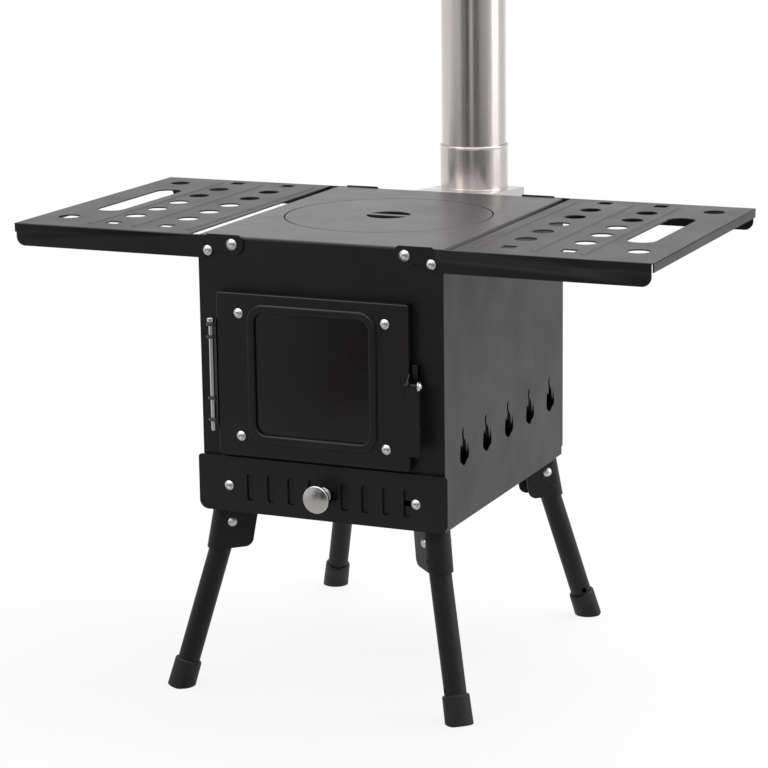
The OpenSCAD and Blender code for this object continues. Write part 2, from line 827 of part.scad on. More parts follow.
module right_hand_shelf() {
    deck_d = body_d + 2 * (shelf_air + sheet);
    deck_w = shelf_out_x - shelf_in_x;
    // Deck
    translate([0, mid_y, top_z - sheet]) linear_extrude(sheet) difference() {
        translate([shelf_in_x, -deck_d / 2]) square([deck_w, deck_d]);
        for (column = [0, 1], i = [0 : shelf_holes - 1])
            translate([shelf_in_x + hole_row_in + column * hole_row_step,
                shelf_hole_pitch * (i - (shelf_holes - 1) / 2) + shelf_holes_back]) {
                if (i > 0 && i < shelf_holes - 1) circle(shelf_hole_r);
                if (i == 0 || i == shelf_holes - 1) square(shelf_square_w, center = true);
            }
        translate([shelf_out_x - hand_slot_in, shelf_holes_back])
            rounded(hand_slot_w, hand_slot_l, hand_slot_w / 2.2);
        for (side = [-1, 1]) translate([shelf_out_x - outer_hole_in, side * outer_hole_reach + shelf_holes_back])
            circle(shelf_hole_r);
    }
    // Ribs pressed up in the deck
    for (share = rib_share) translate([shelf_in_x + deck_w * share, mid_y, top_z - sheet / 2])
        linear_extrude(rib_h + sheet / 2) rounded(rib_w, body_d - 2 * rib_end, rib_w / 2.2);
    // Outer lip
    translate([shelf_out_x - sheet, mid_y - deck_d / 2 + corner_relief, top_z - shelf_lip])
        cube([sheet, deck_d - 2 * corner_relief, shelf_lip]);
    // Front and rear flanges
    upright(front_y - shelf_air - sheet, sheet) shelf_flange_outline();
    upright(rear_y + shelf_air, sheet) shelf_flange_outline();
}

module right_shelf() {
    color("#7c7a7c") right_hand_shelf();
}

module left_shelf() {
    color("#7c7a7c") mirror([1, 0, 0]) right_hand_shelf();
}

module shelf_pivot_screws() {
    head_seat = shelf_air + sheet + seat + washer_t;
    color("#c8c8c8") for (side = [-1, 1]) {
        facing_front(side * shelf_pivot_x, front_y - head_seat, shelf_pivot_z) shelf_pivot_screw(head_seat);
        facing_rear(side * shelf_pivot_x, rear_y + head_seat, shelf_pivot_z) shelf_pivot_screw(head_seat);
    }
}

module shelf_pivot_screw(head_seat) {
    dome_screw(screw_head_r, screw_head_h, screw_r, head_seat + sheet + nut_h);
    translate([0, 0, -head_seat]) cylinder(r = shoulder_r, h = head_seat);
}

module shelf_pivot_washers() {
    washer_y = shelf_air + sheet + seat;
    color("#a8a8ac") for (side = [-1, 1], end = [0, 1])
        translate([side * shelf_pivot_x, end == 0 ? front_y - washer_y : rear_y + washer_y + washer_t, shelf_pivot_z])
        rotate([90, 0, 0]) difference() {
            cylinder(r = washer_r, h = washer_t);
            translate([0, 0, -over]) cylinder(r = shoulder_r + pivot_clear, h = washer_t + 2 * over);
        }
}

module shelf_stop_screws() {
    head_seat = shelf_air + sheet + seat;
    stop_x = shelf_pivot_x + shelf_stop_out;
    shank_l = head_seat + sheet + nut_h;
    color("#c8c8c8") for (side = [-1, 1]) {
        facing_front(side * stop_x, front_y - head_seat, shelf_stop_z)
            dome_screw(screw_head_r, screw_head_h, screw_r, shank_l);
        facing_rear(side * stop_x, rear_y + head_seat, shelf_stop_z)
            dome_screw(screw_head_r, screw_head_h, screw_r, shank_l);
    }
}

/* Flue */

module flue_screw_places() {
    for (x = [-1, 1], z = [-1, 1])
        translate([x * (flue_w + flue_lip) / 2, flue_z + z * (flue_h / 2 - flue_lip)]) children();
}

// The flue box's outline from the side, its top sloping down to the rear
module flue_side(inset, front) {
    polygon([[-front, flue_top - flue_h + inset], [flue_box_d - inset, flue_top - flue_h + inset],
        [flue_box_d - inset, flue_top - flue_fall - inset], [0, flue_top - inset], [-front, flue_top - inset]]);
}

module across_flue(w) {
    translate([-w / 2, rear_y, 0]) rotate([90, 0, 90]) linear_extrude(w) children();
}

module flue_box() {
    lip_w = flue_w + 2 * flue_lip;
    color("#c4c4c8") {
        difference() {
            across_flue(flue_w) flue_side(0, 0);
            across_flue(flue_w - 2 * sheet) flue_side(sheet, over);
            translate([0, pipe_y, flue_top - flue_h / 2]) cylinder(r = pipe_r - collar_lip, h = flue_h);
        }
        upright(rear_y, sheet) difference() {
            translate([0, flue_z]) square([lip_w, flue_h], center = true);
            translate([0, flue_z]) square([flue_w - 2 * sheet, flue_h - 2 * sheet], center = true);
            flue_screw_places() circle(screw_r + hole_clear);
        }
    }
}

module flue_screws() {
    color("#c8c8c8") for (x = [-1, 1], z = [-1, 1])
        facing_rear(x * (flue_w + flue_lip) / 2, rear_y + sheet, flue_z + z * (flue_h / 2 - flue_lip))
            dome_screw(screw_head_r, screw_head_h, screw_r, 2 * sheet + nut_h);
}

module flue_collar() {
    color("#d0d0d4") difference() {
        translate([0, pipe_y, collar_low_z]) cylinder(r = collar_r, h = collar_h + collar_z - collar_low_z, $fn = 96);
        translate([0, pipe_y, collar_z + sheet]) cylinder(r = pipe_r + seat, h = collar_h, $fn = 96);
        translate([0, pipe_y, collar_low_z - over]) cylinder(r = pipe_r - collar_lip, h = collar_h, $fn = 96);
        across_flue(3 * collar_r) flue_side(0, 0);
    }
}

module chimney_pipe() {
    color("#d8d8da") translate([0, pipe_y, collar_z + sheet + seat]) difference() {
        cylinder(r = pipe_r, h = pipe_l, $fn = 96);
        translate([0, 0, -over]) cylinder(r = pipe_r - pipe_t, h = pipe_l + 2 * over, $fn = 96);
    }
}

/* Legs */

leg_places = [[-1, -1], [1, -1], [-1, 1], [1, 1]];
plate_gap = leg_r + seat;
plate_in = 22;
plate_corner_r = 8;
bracket_screw_x = [-17, 3];
rivet_r = 2.5;
rivet_head_r = 4.2;
rivet_head_h = 2.2;
tube_rise = 4;

// Moves to a firebox corner, with local +X pointing out along the diagonal and z from the ground
module at_leg(place) {
    translate([place[0] * body_w / 2, place[1] < 0 ? front_y : rear_y, 0])
        rotate([0, 0, atan2(place[1], place[0])]) children();
}

module at_leg_pivot(place) {
    at_leg(place) translate([-leg_pivot_in, 0, pivot_z]) children();
}

module side_plate(y, t) {
    translate([0, y + t / 2, 0]) rotate([90, 0, 0]) linear_extrude(t) children();
}

module leg_pivot_rivets() {
    reach = plate_gap + bracket_t;
    color("#c8c8c8") for (place = leg_places) at_leg_pivot(place) rotate([90, 0, 0]) {
        translate([0, 0, reach]) dome_screw(rivet_head_r, rivet_head_h, rivet_r, 2 * reach);
        translate([0, 0, -reach]) rotate([180, 0, 0])
            dome_screw(rivet_head_r, rivet_head_h, rivet_r, bracket_t);
    }
}

// The bracket is a channel that leans out with the leg; its round outer side stops the tube at the splay angle
lean_slope = tan(bracket_lean);
bracket_r = plate_gap + bracket_t;
channel_x = bracket_drop * tan(leg_splay) + (leg_r + seat) / cos(leg_splay) - plate_gap / cos(bracket_lean);
channel_l = 2 * (leg_pivot_drop + bracket_drop);

function inner_x(z) = -plate_in - lean_slope * z;
function channel_axis_x(z) = channel_x - lean_slope * (z + bracket_drop);

module bracket_outline() {
    low = plate_corner_r - bracket_drop;
    far_x = channel_x + 2 * bracket_r;
    difference() {
        union() {
            polygon([[inner_x(leg_pivot_drop), leg_pivot_drop], [far_x, leg_pivot_drop], [far_x, -bracket_drop],
                [inner_x(low) + plate_corner_r, -bracket_drop], [inner_x(low), low]]);
            translate([inner_x(low) + plate_corner_r, low]) circle(plate_corner_r);
        }
        circle(rivet_r + hole_clear);
    }
}

// A rod that is round on its outer side and square on its inner side, leaning with the bracket
module leaning_rod(r) {
    translate([channel_x, 0, -bracket_drop]) rotate([0, -bracket_lean, 0]) translate([0, 0, -channel_l / 2])
        linear_extrude(2 * channel_l) {
            circle(r);
            translate([-2 * plate_in, -r]) square([2 * plate_in, 2 * r]);
        }
}

module leg_bracket(place) {
    shelf_x = inner_x(leg_pivot_drop) + bracket_t;
    color("#4c4a4e") at_leg_pivot(place) {
        intersection() {
            side_plate(0, 4 * bracket_r) bracket_outline();
            difference() {
                leaning_rod(bracket_r);
                leaning_rod(plate_gap);
            }
        }
        intersection() {
            leaning_rod(plate_gap + bracket_t / 2);
            translate([shelf_x, -2 * bracket_r, leg_pivot_drop - bracket_t])
                cube([channel_axis_x(leg_pivot_drop) + 2 * bracket_r - shelf_x, 4 * bracket_r, bracket_t]);
        }
        for (x = bracket_screw_x) translate([x, 0, leg_pivot_drop - bracket_t / 2])
            cylinder(r = screw_r, h = bracket_t / 2 + sheet);
    }
}

module front_left_leg_bracket() {
    leg_bracket(leg_places[0]);
}

module front_right_leg_bracket() {
    leg_bracket(leg_places[1]);
}

module rear_left_leg_bracket() {
    leg_bracket(leg_places[2]);
}

module rear_right_leg_bracket() {
    leg_bracket(leg_places[3]);
}

// Moves to the leg tube's axis: local -Z runs down the leg from the pivot's height
module at_leg_axis(place) {
    at_leg_pivot(place) rotate([0, -leg_splay, 0]) children();
}

leg_axis_l = (pivot_z - foot_end_z) / cos(leg_splay);
tube_end = leg_axis_l - foot_floor;

module leg_tube(place) {
    tube_l = tube_end + tube_rise;
    color("#46444a") at_leg_axis(place) difference() {
        translate([0, 0, -tube_end]) cylinder(r = leg_r, h = tube_l);
        translate([0, 0, -tube_end - over]) cylinder(r = leg_r - leg_t, h = tube_l + 2 * over);
        translate([0, -2 * leg_r, 0]) rotate([-90, 0, 0]) cylinder(r = rivet_r + pivot_clear, h = 4 * leg_r);
    }
}

module front_left_leg_tube() {
    leg_tube(leg_places[0]);
}

module front_right_leg_tube() {
    leg_tube(leg_places[1]);
}

module rear_left_leg_tube() {
    leg_tube(leg_places[2]);
}

module rear_right_leg_tube() {
    leg_tube(leg_places[3]);
}

module foot(place) {
    color("#1c1c1e") difference() {
        at_leg_axis(place) translate([0, 0, -leg_axis_l]) difference() {
            cylinder(r = foot_r, h = foot_l);
            translate([0, 0, foot_floor]) cylinder(r = leg_r + hole_clear, h = foot_l);
        }
        at_leg(place) translate([foot_end_out - 2 * foot_r, -2 * foot_r, -foot_l])
            cube([4 * foot_r, 4 * foot_r, foot_l]);
    }
}

module front_left_foot() {
    foot(leg_places[0]);
}

module front_right_foot() {
    foot(leg_places[1]);
}

module rear_left_foot() {
    foot(leg_places[2]);
}

module rear_right_foot() {
    foot(leg_places[3]);
}

front_panel();
left_side_panel();
right_side_panel();
left_liner();
right_liner();
rear_panel();
firebox_floor();
top_plate();
lid_seat_ring();
cooktop_lid();
lid_finger_cup();
fire_grate();
air_inlet_cover();
cover_screws();
air_damper();
damper_knob();
hinge_bracket();
hinge_pin();
door_panel();
door_hinge_leaf();
door_glass();
glass_retainer();
door_gasket();
door_screws();
latch_bracket();
latch_screw();
latch_handle();
latch_keeper();
left_shelf();
right_shelf();
shelf_pivot_screws();
shelf_pivot_washers();
shelf_stop_screws();
flue_box();
flue_screws();
flue_collar();
chimney_pipe();
leg_pivot_rivets();
front_left_leg_bracket();
front_right_leg_bracket();
rear_left_leg_bracket();
rear_right_leg_bracket();
front_left_leg_tube();
front_right_leg_tube();
rear_left_leg_tube();
rear_right_leg_tube();
front_left_foot();
front_right_foot();
rear_left_foot();
rear_right_foot();
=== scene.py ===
# A tent wood stove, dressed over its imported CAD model, in metres.

import json
import math

import bmesh
import bpy
from mathutils import Matrix, Vector


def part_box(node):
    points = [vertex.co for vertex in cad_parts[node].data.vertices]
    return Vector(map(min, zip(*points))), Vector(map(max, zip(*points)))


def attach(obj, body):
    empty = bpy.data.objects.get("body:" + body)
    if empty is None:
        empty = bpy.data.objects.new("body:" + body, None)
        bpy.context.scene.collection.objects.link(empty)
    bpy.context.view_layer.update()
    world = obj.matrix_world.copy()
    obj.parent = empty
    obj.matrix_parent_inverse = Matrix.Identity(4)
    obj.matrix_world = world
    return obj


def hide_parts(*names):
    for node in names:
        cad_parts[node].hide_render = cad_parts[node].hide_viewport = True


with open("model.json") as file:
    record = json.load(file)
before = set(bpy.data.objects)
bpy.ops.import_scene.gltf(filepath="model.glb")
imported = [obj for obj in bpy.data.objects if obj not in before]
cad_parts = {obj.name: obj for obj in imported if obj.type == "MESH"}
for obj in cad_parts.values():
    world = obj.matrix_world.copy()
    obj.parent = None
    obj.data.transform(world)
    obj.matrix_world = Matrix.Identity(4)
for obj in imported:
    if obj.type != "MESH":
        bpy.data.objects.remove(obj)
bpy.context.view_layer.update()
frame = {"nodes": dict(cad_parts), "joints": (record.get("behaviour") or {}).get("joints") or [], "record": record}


# Firebox shell: front, rear and two side panels, folded from 1.2 mm mild steel
# and welded at their returns. The coat is baked satin black powder, so every cut
# edge is slightly rounded by it and the flats show a fine orange peel.

def linear(hex_code):
    # An sRGB hex colour as the linear one that a shader takes.
    shares = [int(hex_code[i:i + 2], 16) / 255 for i in (1, 3, 5)]
    return tuple(share / 12.92 if share <= 0.04045 else ((share + 0.055) / 1.055) ** 2.4
                 for share in shares) + (1.0,)


def add(tree, kind, inputs=None, **settings):
    # A new node with its settings; an input takes a value, or a link from a socket.
    node = tree.nodes.new(kind)
    for name, value in settings.items():
        setattr(node, name, value)
    for key, value in (inputs or {}).items():
        if isinstance(value, bpy.types.NodeSocket):
            tree.links.new(value, node.inputs[key])
        else:
            node.inputs[key].default_value = value
    return node


def new_material(name):
    material = bpy.data.materials.new(name)
    material.use_nodes = True
    tree = material.node_tree
    tree.nodes.clear()
    return material, tree, add(tree, "ShaderNodeTexCoord").outputs["Object"]


def powder_coat(name, shades, ior, roughness, peel_mm, speck_mm, peel_depth_mm):
    # Baked paint: no metal in it, its flow leaves a soft orange peel, a fine speck
    # and a slow drift of gloss.
    drift_mm, speck_rough = 45, 0.05
    gloss_tint = (1.0, 0.94, 1.0, 1.0)
    material, tree, place = new_material(name)
    drift = add(tree, "ShaderNodeTexNoise",
                {"Vector": place, "Scale": 1000 / drift_mm, "Detail": 3.0})
    speck = add(tree, "ShaderNodeTexNoise",
                {"Vector": place, "Scale": 1000 / speck_mm, "Detail": 2.0})
    peel = add(tree, "ShaderNodeTexNoise",
               {"Vector": place, "Scale": 1000 / peel_mm, "Detail": 4.0, "Roughness": 0.6})
    shade = add(tree, "ShaderNodeMix",
                {"Factor": drift.outputs["Fac"], "A": linear(shades[0]), "B": linear(shades[1])},
                data_type="RGBA")
    grain = add(tree, "ShaderNodeMapRange",
                {"Value": speck.outputs["Fac"], "From Min": 0.35, "From Max": 0.65})
    gloss = add(tree, "ShaderNodeMapRange",
                {"Value": drift.outputs["Fac"], "From Min": 0.3, "From Max": 0.7,
                 "To Min": roughness[0], "To Max": roughness[1]})
    rough = add(tree, "ShaderNodeMath",
                {0: grain.outputs["Result"], 1: speck_rough, 2: gloss.outputs["Result"]},
                operation="MULTIPLY_ADD")
    bump = add(tree, "ShaderNodeBump",
               {"Strength": 0.6, "Distance": peel_depth_mm / 1000, "Height": peel.outputs["Fac"]})
    coat = add(tree, "ShaderNodeBsdfPrincipled",
               {"Base Color": shade.outputs["Result"], "Roughness": rough.outputs[0],
                "IOR": ior, "Specular Tint": gloss_tint, "Normal": bump.outputs["Normal"]})
    add(tree, "ShaderNodeOutputMaterial", {"Surface": coat.outputs["BSDF"]})
    return material


black_powder_coat = powder_coat("satin_black_powder_coat", ("#0c090b", "#120f11"), ior=1.42,
                                roughness=(0.34, 0.44), peel_mm=0.9, speck_mm=0.35,
                                peel_depth_mm=0.02)

record = frame["record"]
body_of = {node: body for body, nodes in record["behaviour"]["bodies"].items() for node in nodes}


def merged_copy(node):
    # A CAD node's mesh, with its loose triangles joined.
    mesh = bmesh.new()
    mesh.from_mesh(frame["nodes"][node].data)
    bmesh.ops.remove_doubles(mesh, verts=mesh.verts, dist=0.00001)
    return mesh


def plate_copy(node):
    # The same with each flat in one face, so that only real edges are left.
    mesh = merged_copy(node)
    bmesh.ops.dissolve_limit(mesh, angle_limit=math.radians(0.6), verts=mesh.verts,
                             edges=mesh.edges)
    return mesh


def round_edges(mesh, radius, steps=2, chosen=None, least=35):
    # Rounds the edges that turn by more than least degrees, or the chosen ones of them.
    edges = [edge for edge in mesh.edges if len(edge.link_faces) == 2
             and math.degrees(edge.calc_face_angle(0)) > least
             and (chosen is None or chosen(edge))]
    bmesh.ops.bevel(mesh, geom=edges, offset=radius, offset_type="OFFSET", segments=steps,
                    profile=0.5, affect="EDGES", material=-1, clamp_overlap=True)


def show(name, mesh, material, node):
    # Makes the mesh a piece in its CAD node's place, on the node's body.
    data = bpy.data.meshes.new(name)
    mesh.to_mesh(data)
    mesh.free()
    data.materials.append(material)
    data.shade_smooth()
    piece = bpy.data.objects.new(name, data)
    bpy.context.scene.collection.objects.link(piece)
    evened = piece.modifiers.new("evened_normals", "WEIGHTED_NORMAL")
    evened.weight = 60
    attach(piece, body_of[node])
    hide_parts(node)
    return piece


def show_sheet(name, node, material, edge_r, steps=2):
    # A cut or folded sheet as CAD has it, with its sharp edges rounded.
    sheet = plate_copy(node)
    round_edges(sheet, edge_r, steps)
    show(name, sheet, material, node)


for panel in ("front_panel", "rear_panel", "left_side_panel", "right_side_panel"):
    show_sheet(panel + "_sheet", panel, black_powder_coat, edge_r=0.00025)


# Fire-side steel: floor, two heat-shield liners and the slotted grate. Liners and
# grate are bare mild steel that the first fire has blued and browned. They show
# through the vents and the door.

def bare_fire_steel():
    # Bare hot-rolled steel: metallic, dull mill scale with brown and blue heat drift.
    scale_mm, heat_mm = 8, 70
    material, tree, place = new_material("bare_fire_steel")
    scale_marks = add(tree, "ShaderNodeTexNoise",
                      {"Vector": place, "Scale": 1000 / scale_mm, "Detail": 6.0,
                       "Roughness": 0.65})
    heat = add(tree, "ShaderNodeTexNoise",
               {"Vector": place, "Scale": 1000 / heat_mm, "Detail": 2.0})
    tint = add(tree, "ShaderNodeMix",
               {"Factor": heat.outputs["Fac"], "A": linear("#4b4038"), "B": linear("#41444c")},
               data_type="RGBA")
    shade = add(tree, "ShaderNodeMix",
                {"Factor": scale_marks.outputs["Fac"], "A": tint.outputs["Result"],
                 "B": linear("#26221f")}, data_type="RGBA")
    rough = add(tree, "ShaderNodeMapRange",
                {"Value": scale_marks.outputs["Fac"], "To Min": 0.4, "To Max": 0.7})
    bump = add(tree, "ShaderNodeBump",
               {"Strength": 0.4, "Distance": 0.00008, "Height": scale_marks.outputs["Fac"]})
    steel = add(tree, "ShaderNodeBsdfPrincipled",
                {"Base Color": shade.outputs["Result"], "Metallic": 0.85,
                 "Roughness": rough.outputs["Result"], "Normal": bump.outputs["Normal"]})
    add(tree, "ShaderNodeOutputMaterial", {"Surface": steel.outputs["BSDF"]})
    return material


fire_steel = bare_fire_steel()


def coat_node(node, material):
    data = frame["nodes"][node].data
    data.materials.clear()
    data.materials.append(material)


for lining in ("left_liner", "right_liner", "fire_grate"):
    coat_node(lining, fire_steel)
coat_node("firebox_floor", black_powder_coat)


# Cooktop: a 2.5 mm plate with a round lift-out lid on a welded seat ring. Its coat
# is a thinner high-heat paint, greyer and a little glossier than the powder coat.

cooktop_paint = powder_coat("high_heat_cooktop_paint", ("#2e2c2d", "#373536"), ior=1.5,
                            roughness=(0.30, 0.38), peel_mm=0.7, speck_mm=0.3,
                            peel_depth_mm=0.012)

plate = plate_copy("top_plate")
plate_low, plate_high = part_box("top_plate")
plate_rim_r, seat_edge_r, lid_edge_r = 0.0015, 0.00025, 0.0004
hair = 0.0001


def middle_of(edge):
    return (edge.verts[0].co + edge.verts[1].co) / 2


def near_outline(place, low, high, axes, margin=0.003):
    # Whether a place is close to a box's outline, as seen across the two axes.
    return any(place[i] < low[i] + margin or place[i] > high[i] - margin for i in axes)


def on_plate_rim(edge):
    middle = middle_of(edge)
    return (near_outline(middle, plate_low, plate_high, (0, 1))
            and middle.z > plate_high.z - hair)


round_edges(plate, plate_rim_r, 4, on_plate_rim)
round_edges(plate, seat_edge_r, 2, lambda edge: not on_plate_rim(edge), least=50)
show("cooktop_plate", plate, cooktop_paint, "top_plate")
show_sheet("lid_plate", "cooktop_lid", cooktop_paint, lid_edge_r)
for under in ("lid_seat_ring", "lid_finger_cup"):
    coat_node(under, black_powder_coat)


# Air inlet: a slotted cover folded as a shallow pan, with the slotted damper plate
# sliding behind it. The knob is turned from stainless bar and polished, so its face
# is bright with a fine even grain.

for plate_name, edge_r in (("air_inlet_cover", 0.0003), ("air_damper", 0.0002)):
    show_sheet(plate_name + "_plate", plate_name, black_powder_coat, edge_r)


def stainless(name, shades, roughness, grain_per_m, drawn=0.0):
    # Stainless or plated steel: metallic, with fine finishing marks, counted per metre
    # along each axis, whose length follows the way it was ground; default IOR. A
    # drawn tube smears its reflections lengthways.
    cloud_mm, cloud_rough = 30, 0.06
    lengthways = 0.25
    material, tree, place = new_material(name)
    stretched = add(tree, "ShaderNodeMapping", {"Vector": place, "Scale": grain_per_m})
    lines = add(tree, "ShaderNodeTexNoise",
                {"Vector": stretched.outputs["Vector"], "Scale": 1.0, "Detail": 3.0,
                 "Roughness": 0.7})
    cloud = add(tree, "ShaderNodeTexNoise",
                {"Vector": place, "Scale": 1000 / cloud_mm, "Detail": 2.0})
    shade = add(tree, "ShaderNodeMix",
                {"Factor": lines.outputs["Fac"], "A": linear(shades[0]), "B": linear(shades[1])},
                data_type="RGBA")
    span = add(tree, "ShaderNodeMapRange",
               {"Value": lines.outputs["Fac"], "From Min": 0.3, "From Max": 0.7,
                "To Min": roughness[0], "To Max": roughness[1]})
    rough = add(tree, "ShaderNodeMath",
                {0: cloud.outputs["Fac"], 1: cloud_rough, 2: span.outputs["Result"]},
                operation="MULTIPLY_ADD")
    bump = add(tree, "ShaderNodeBump",
               {"Strength": 0.12, "Distance": 0.00001, "Height": lines.outputs["Fac"]})
    steel = add(tree, "ShaderNodeBsdfPrincipled",
                {"Base Color": shade.outputs["Result"], "Metallic": 1.0,
                 "Roughness": rough.outputs[0], "Normal": bump.outputs["Normal"]})
    if drawn:
        around = add(tree, "ShaderNodeTangent", direction_type="RADIAL", axis="Z")
        tree.links.new(around.outputs["Tangent"], steel.inputs["Tangent"])
        steel.inputs["Anisotropic"].default_value = drawn
        steel.inputs["Anisotropic Rotation"].default_value = lengthways
    add(tree, "ShaderNodeOutputMaterial", {"Surface": steel.outputs["BSDF"]})
    return material


polished_stainless = stainless("polished_stainless_fittings", ("#dcdad6", "#c2c0bd"),
                               roughness=(0.10, 0.20), grain_per_m=(900, 900, 900))


def turned(profile, steps, matrix=Matrix()):
    # A lathe profile of (radius, height) points, spun about Z and then placed.
    mesh = bmesh.new()
    points = [mesh.verts.new((radius, 0, height)) for radius, height in profile]
    edges = [mesh.edges.new(pair) for pair in zip(points, points[1:])]
    bmesh.ops.spin(mesh, geom=points + edges, cent=(0, 0, 0), axis=(0, 0, 1),
                   angle=2 * math.pi, steps=steps, use_merge=True)
    bmesh.ops.remove_doubles(mesh, verts=mesh.verts, dist=0.000002)
    bmesh.ops.recalc_face_normals(mesh, faces=mesh.faces)
    bmesh.ops.transform(mesh, matrix=matrix, verts=mesh.verts)
    return mesh


def arc(centre_r, centre_z, radius, start, end, steps):
    # Profile points round a centre, from one angle in degrees to another.
    angles = [math.radians(start + (end - start) * i / steps) for i in range(steps + 1)]
    return [(centre_r + radius * math.cos(angle), centre_z + radius * math.sin(angle))
            for angle in angles]


knob_low, knob_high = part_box("damper_knob")
knob_r = (knob_high.x - knob_low.x) / 2
knob_l = knob_high.y - knob_low.y
shank_r, shank_l = 0.0035, 0.0021
flange_r, flange_round = 0.0066, 0.0004
neck_r, neck_z, neck_fillet = 0.0048, 0.0040, 0.003
head_back, back_round = knob_l - 0.0050, 0.0010
head_front, front_round = knob_l - 0.0030, 0.0016
crown = [(knob_r - 0.0026, knob_l - 0.0013), (knob_r * 0.70, knob_l - 0.0008),
         (knob_r * 0.40, knob_l - 0.0003), (0, knob_l)]
knob_at = Matrix.Translation(((knob_low.x + knob_high.x) / 2, knob_high.y,
                              (knob_low.z + knob_high.z) / 2))
knob = turned([(0, 0), (shank_r, 0), (shank_r, shank_l), (flange_r, shank_l)]
              + arc(flange_r, shank_l + flange_round, flange_round, -80, 0, 2)
              + arc(flange_r - flange_round, shank_l + 2 * flange_round, 2 * flange_round,
                    0, 80, 4)
              + [(neck_r, neck_z)]
              + arc(neck_r + neck_fillet, head_back - neck_fillet, neck_fillet, 180, 100, 5)
              + [(knob_r - back_round, head_back)]
              + arc(knob_r - back_round, head_back + back_round, back_round, -90, 0, 4)
              + arc(knob_r - front_round, head_front, front_round, 0, 62, 5) + crown,
              96, knob_at @ Matrix.Rotation(math.radians(90), 4, "X"))
show("turned_knob", knob, polished_stainless, "damper_knob")


# Screws and rivets: stainless dome heads with a cross recess; the leg rivets have
# a plain domed head in satin plating. Each stands where its CAD solid is.

head_h, head_rim_h, edge_break = 0.0024, 0.0002, 0.0003
firebox_middle = (plate_low.y + plate_high.y) / 2


def apart(node):
    # The separate solids of a CAD node, each as its lowest and highest corner.
    mesh = merged_copy(node)
    seen, boxes = set(), []
    for start in mesh.verts:
        if start in seen:
            continue
        seen.add(start)
        heap, part = [start], []
        while heap:
            vert = heap.pop()
            part.append(vert.co.copy())
            for edge in vert.link_edges:
                other = edge.other_vert(vert)
                if other not in seen:
                    seen.add(other)
                    heap.append(other)
        boxes.append((Vector(min(co[i] for co in part) for i in range(3)),
                      Vector(max(co[i] for co in part) for i in range(3))))
    mesh.free()
    return boxes


def dome_head(head_r, shank_r, shank_l):
    # Head up along Z, with its seat at the origin.
    ball = (head_r ** 2 + head_h ** 2) / (2 * head_h)
    rim_angle = math.degrees(math.asin(head_r / ball))
    crown = arc(0, head_h - ball, ball, 90 - rim_angle, 90, 8)
    return turned([(0, -shank_l), (shank_r - edge_break, -shank_l),
                   (shank_r, -shank_l + edge_break), (shank_r, 0),
                   (head_r - edge_break, 0), (head_r, head_rim_h)]
                  + crown[1:-1] + [(0, head_h)], 32)


def carved(mesh, blade):
    # What is left of one mesh where the other is cut away; both are used up.
    solids = []
    for name, source in (("blank", mesh), ("blade", blade)):
        data = bpy.data.meshes.new(name)
        source.to_mesh(data)
        source.free()
        solids.append(bpy.data.objects.new(name, data))
        bpy.context.scene.collection.objects.link(solids[-1])
    cut = solids[0].modifiers.new("carving", "BOOLEAN")
    cut.operation = "DIFFERENCE"
    cut.solver = "EXACT"
    cut.use_self = True
    cut.object = solids[1]
    bpy.context.view_layer.update()
    result = bmesh.new()
    result.from_mesh(solids[0].evaluated_get(bpy.context.evaluated_depsgraph_get()).to_mesh())
    for solid in solids:
        bpy.data.objects.remove(solid)
    return result


def cross_cut(mesh, head_r):
    # Cuts the recess with two crossed blades that taper towards its bottom.
    blade_size = (head_r * 1.05, head_r * 0.22, head_h * 0.9)
    bottom_share = (0.45, 0.7, 1)
    blades = bmesh.new()
    for turn in (0, 90):
        blade = bmesh.ops.create_cube(blades, size=1)["verts"]
        bmesh.ops.scale(blades, vec=blade_size, verts=blade)
        bmesh.ops.translate(blades, vec=(0, 0, head_h), verts=blade)
        bottom = [vert for vert in blade if vert.co.z < head_h]
        bmesh.ops.scale(blades, vec=bottom_share, verts=bottom)
        bmesh.ops.rotate(blades, cent=(0, 0, 0), verts=blade,
                         matrix=Matrix.Rotation(math.radians(turn), 3, "Z"))
    return carved(mesh, blades)


def add_copy(whole, part):
    # Adds a part's mesh to the whole and keeps the part.
    data = bpy.data.meshes.new("part_copy")
    part.to_mesh(data)
    whole.from_mesh(data)
    bpy.data.meshes.remove(data)


def screw_set(name, node, shank_r, heads_face=None):
    # Heads face heads_face, or without it to the front or rear, away from the firebox.
    # Each screw is driven home at an angle of its own.
    first_turn, next_turn = 0.4, 0.7
    blanks = {}
    whole = bmesh.new()
    for number, (low, high) in enumerate(apart(node)):
        way = heads_face or Vector((0, -1 if (low.y + high.y) / 2 < firebox_middle else 1, 0))
        axis = [round(abs(share)) for share in way].index(1)
        head_r = (high - low)[axis - 1] / 2
        shank_l = (high - low)[axis] - head_h
        size = round(shank_l, 4)
        if size not in blanks:
            blanks[size] = cross_cut(dome_head(head_r, shank_r, shank_l), head_r)
        seat = (low + high) / 2
        seat[axis] = (high[axis] - head_h) if way[axis] > 0 else (low[axis] + head_h)
        driven = (Matrix.Translation(seat) @ way.to_track_quat("Z", "Y").to_matrix().to_4x4()
                  @ Matrix.Rotation(first_turn + next_turn * number, 4, "Z"))
        start = len(whole.verts)
        add_copy(whole, blanks[size])
        whole.verts.ensure_lookup_table()
        bmesh.ops.transform(whole, matrix=driven, verts=whole.verts[start:])
    for blank in blanks.values():
        blank.free()
    return show(name, whole, polished_stainless, node)


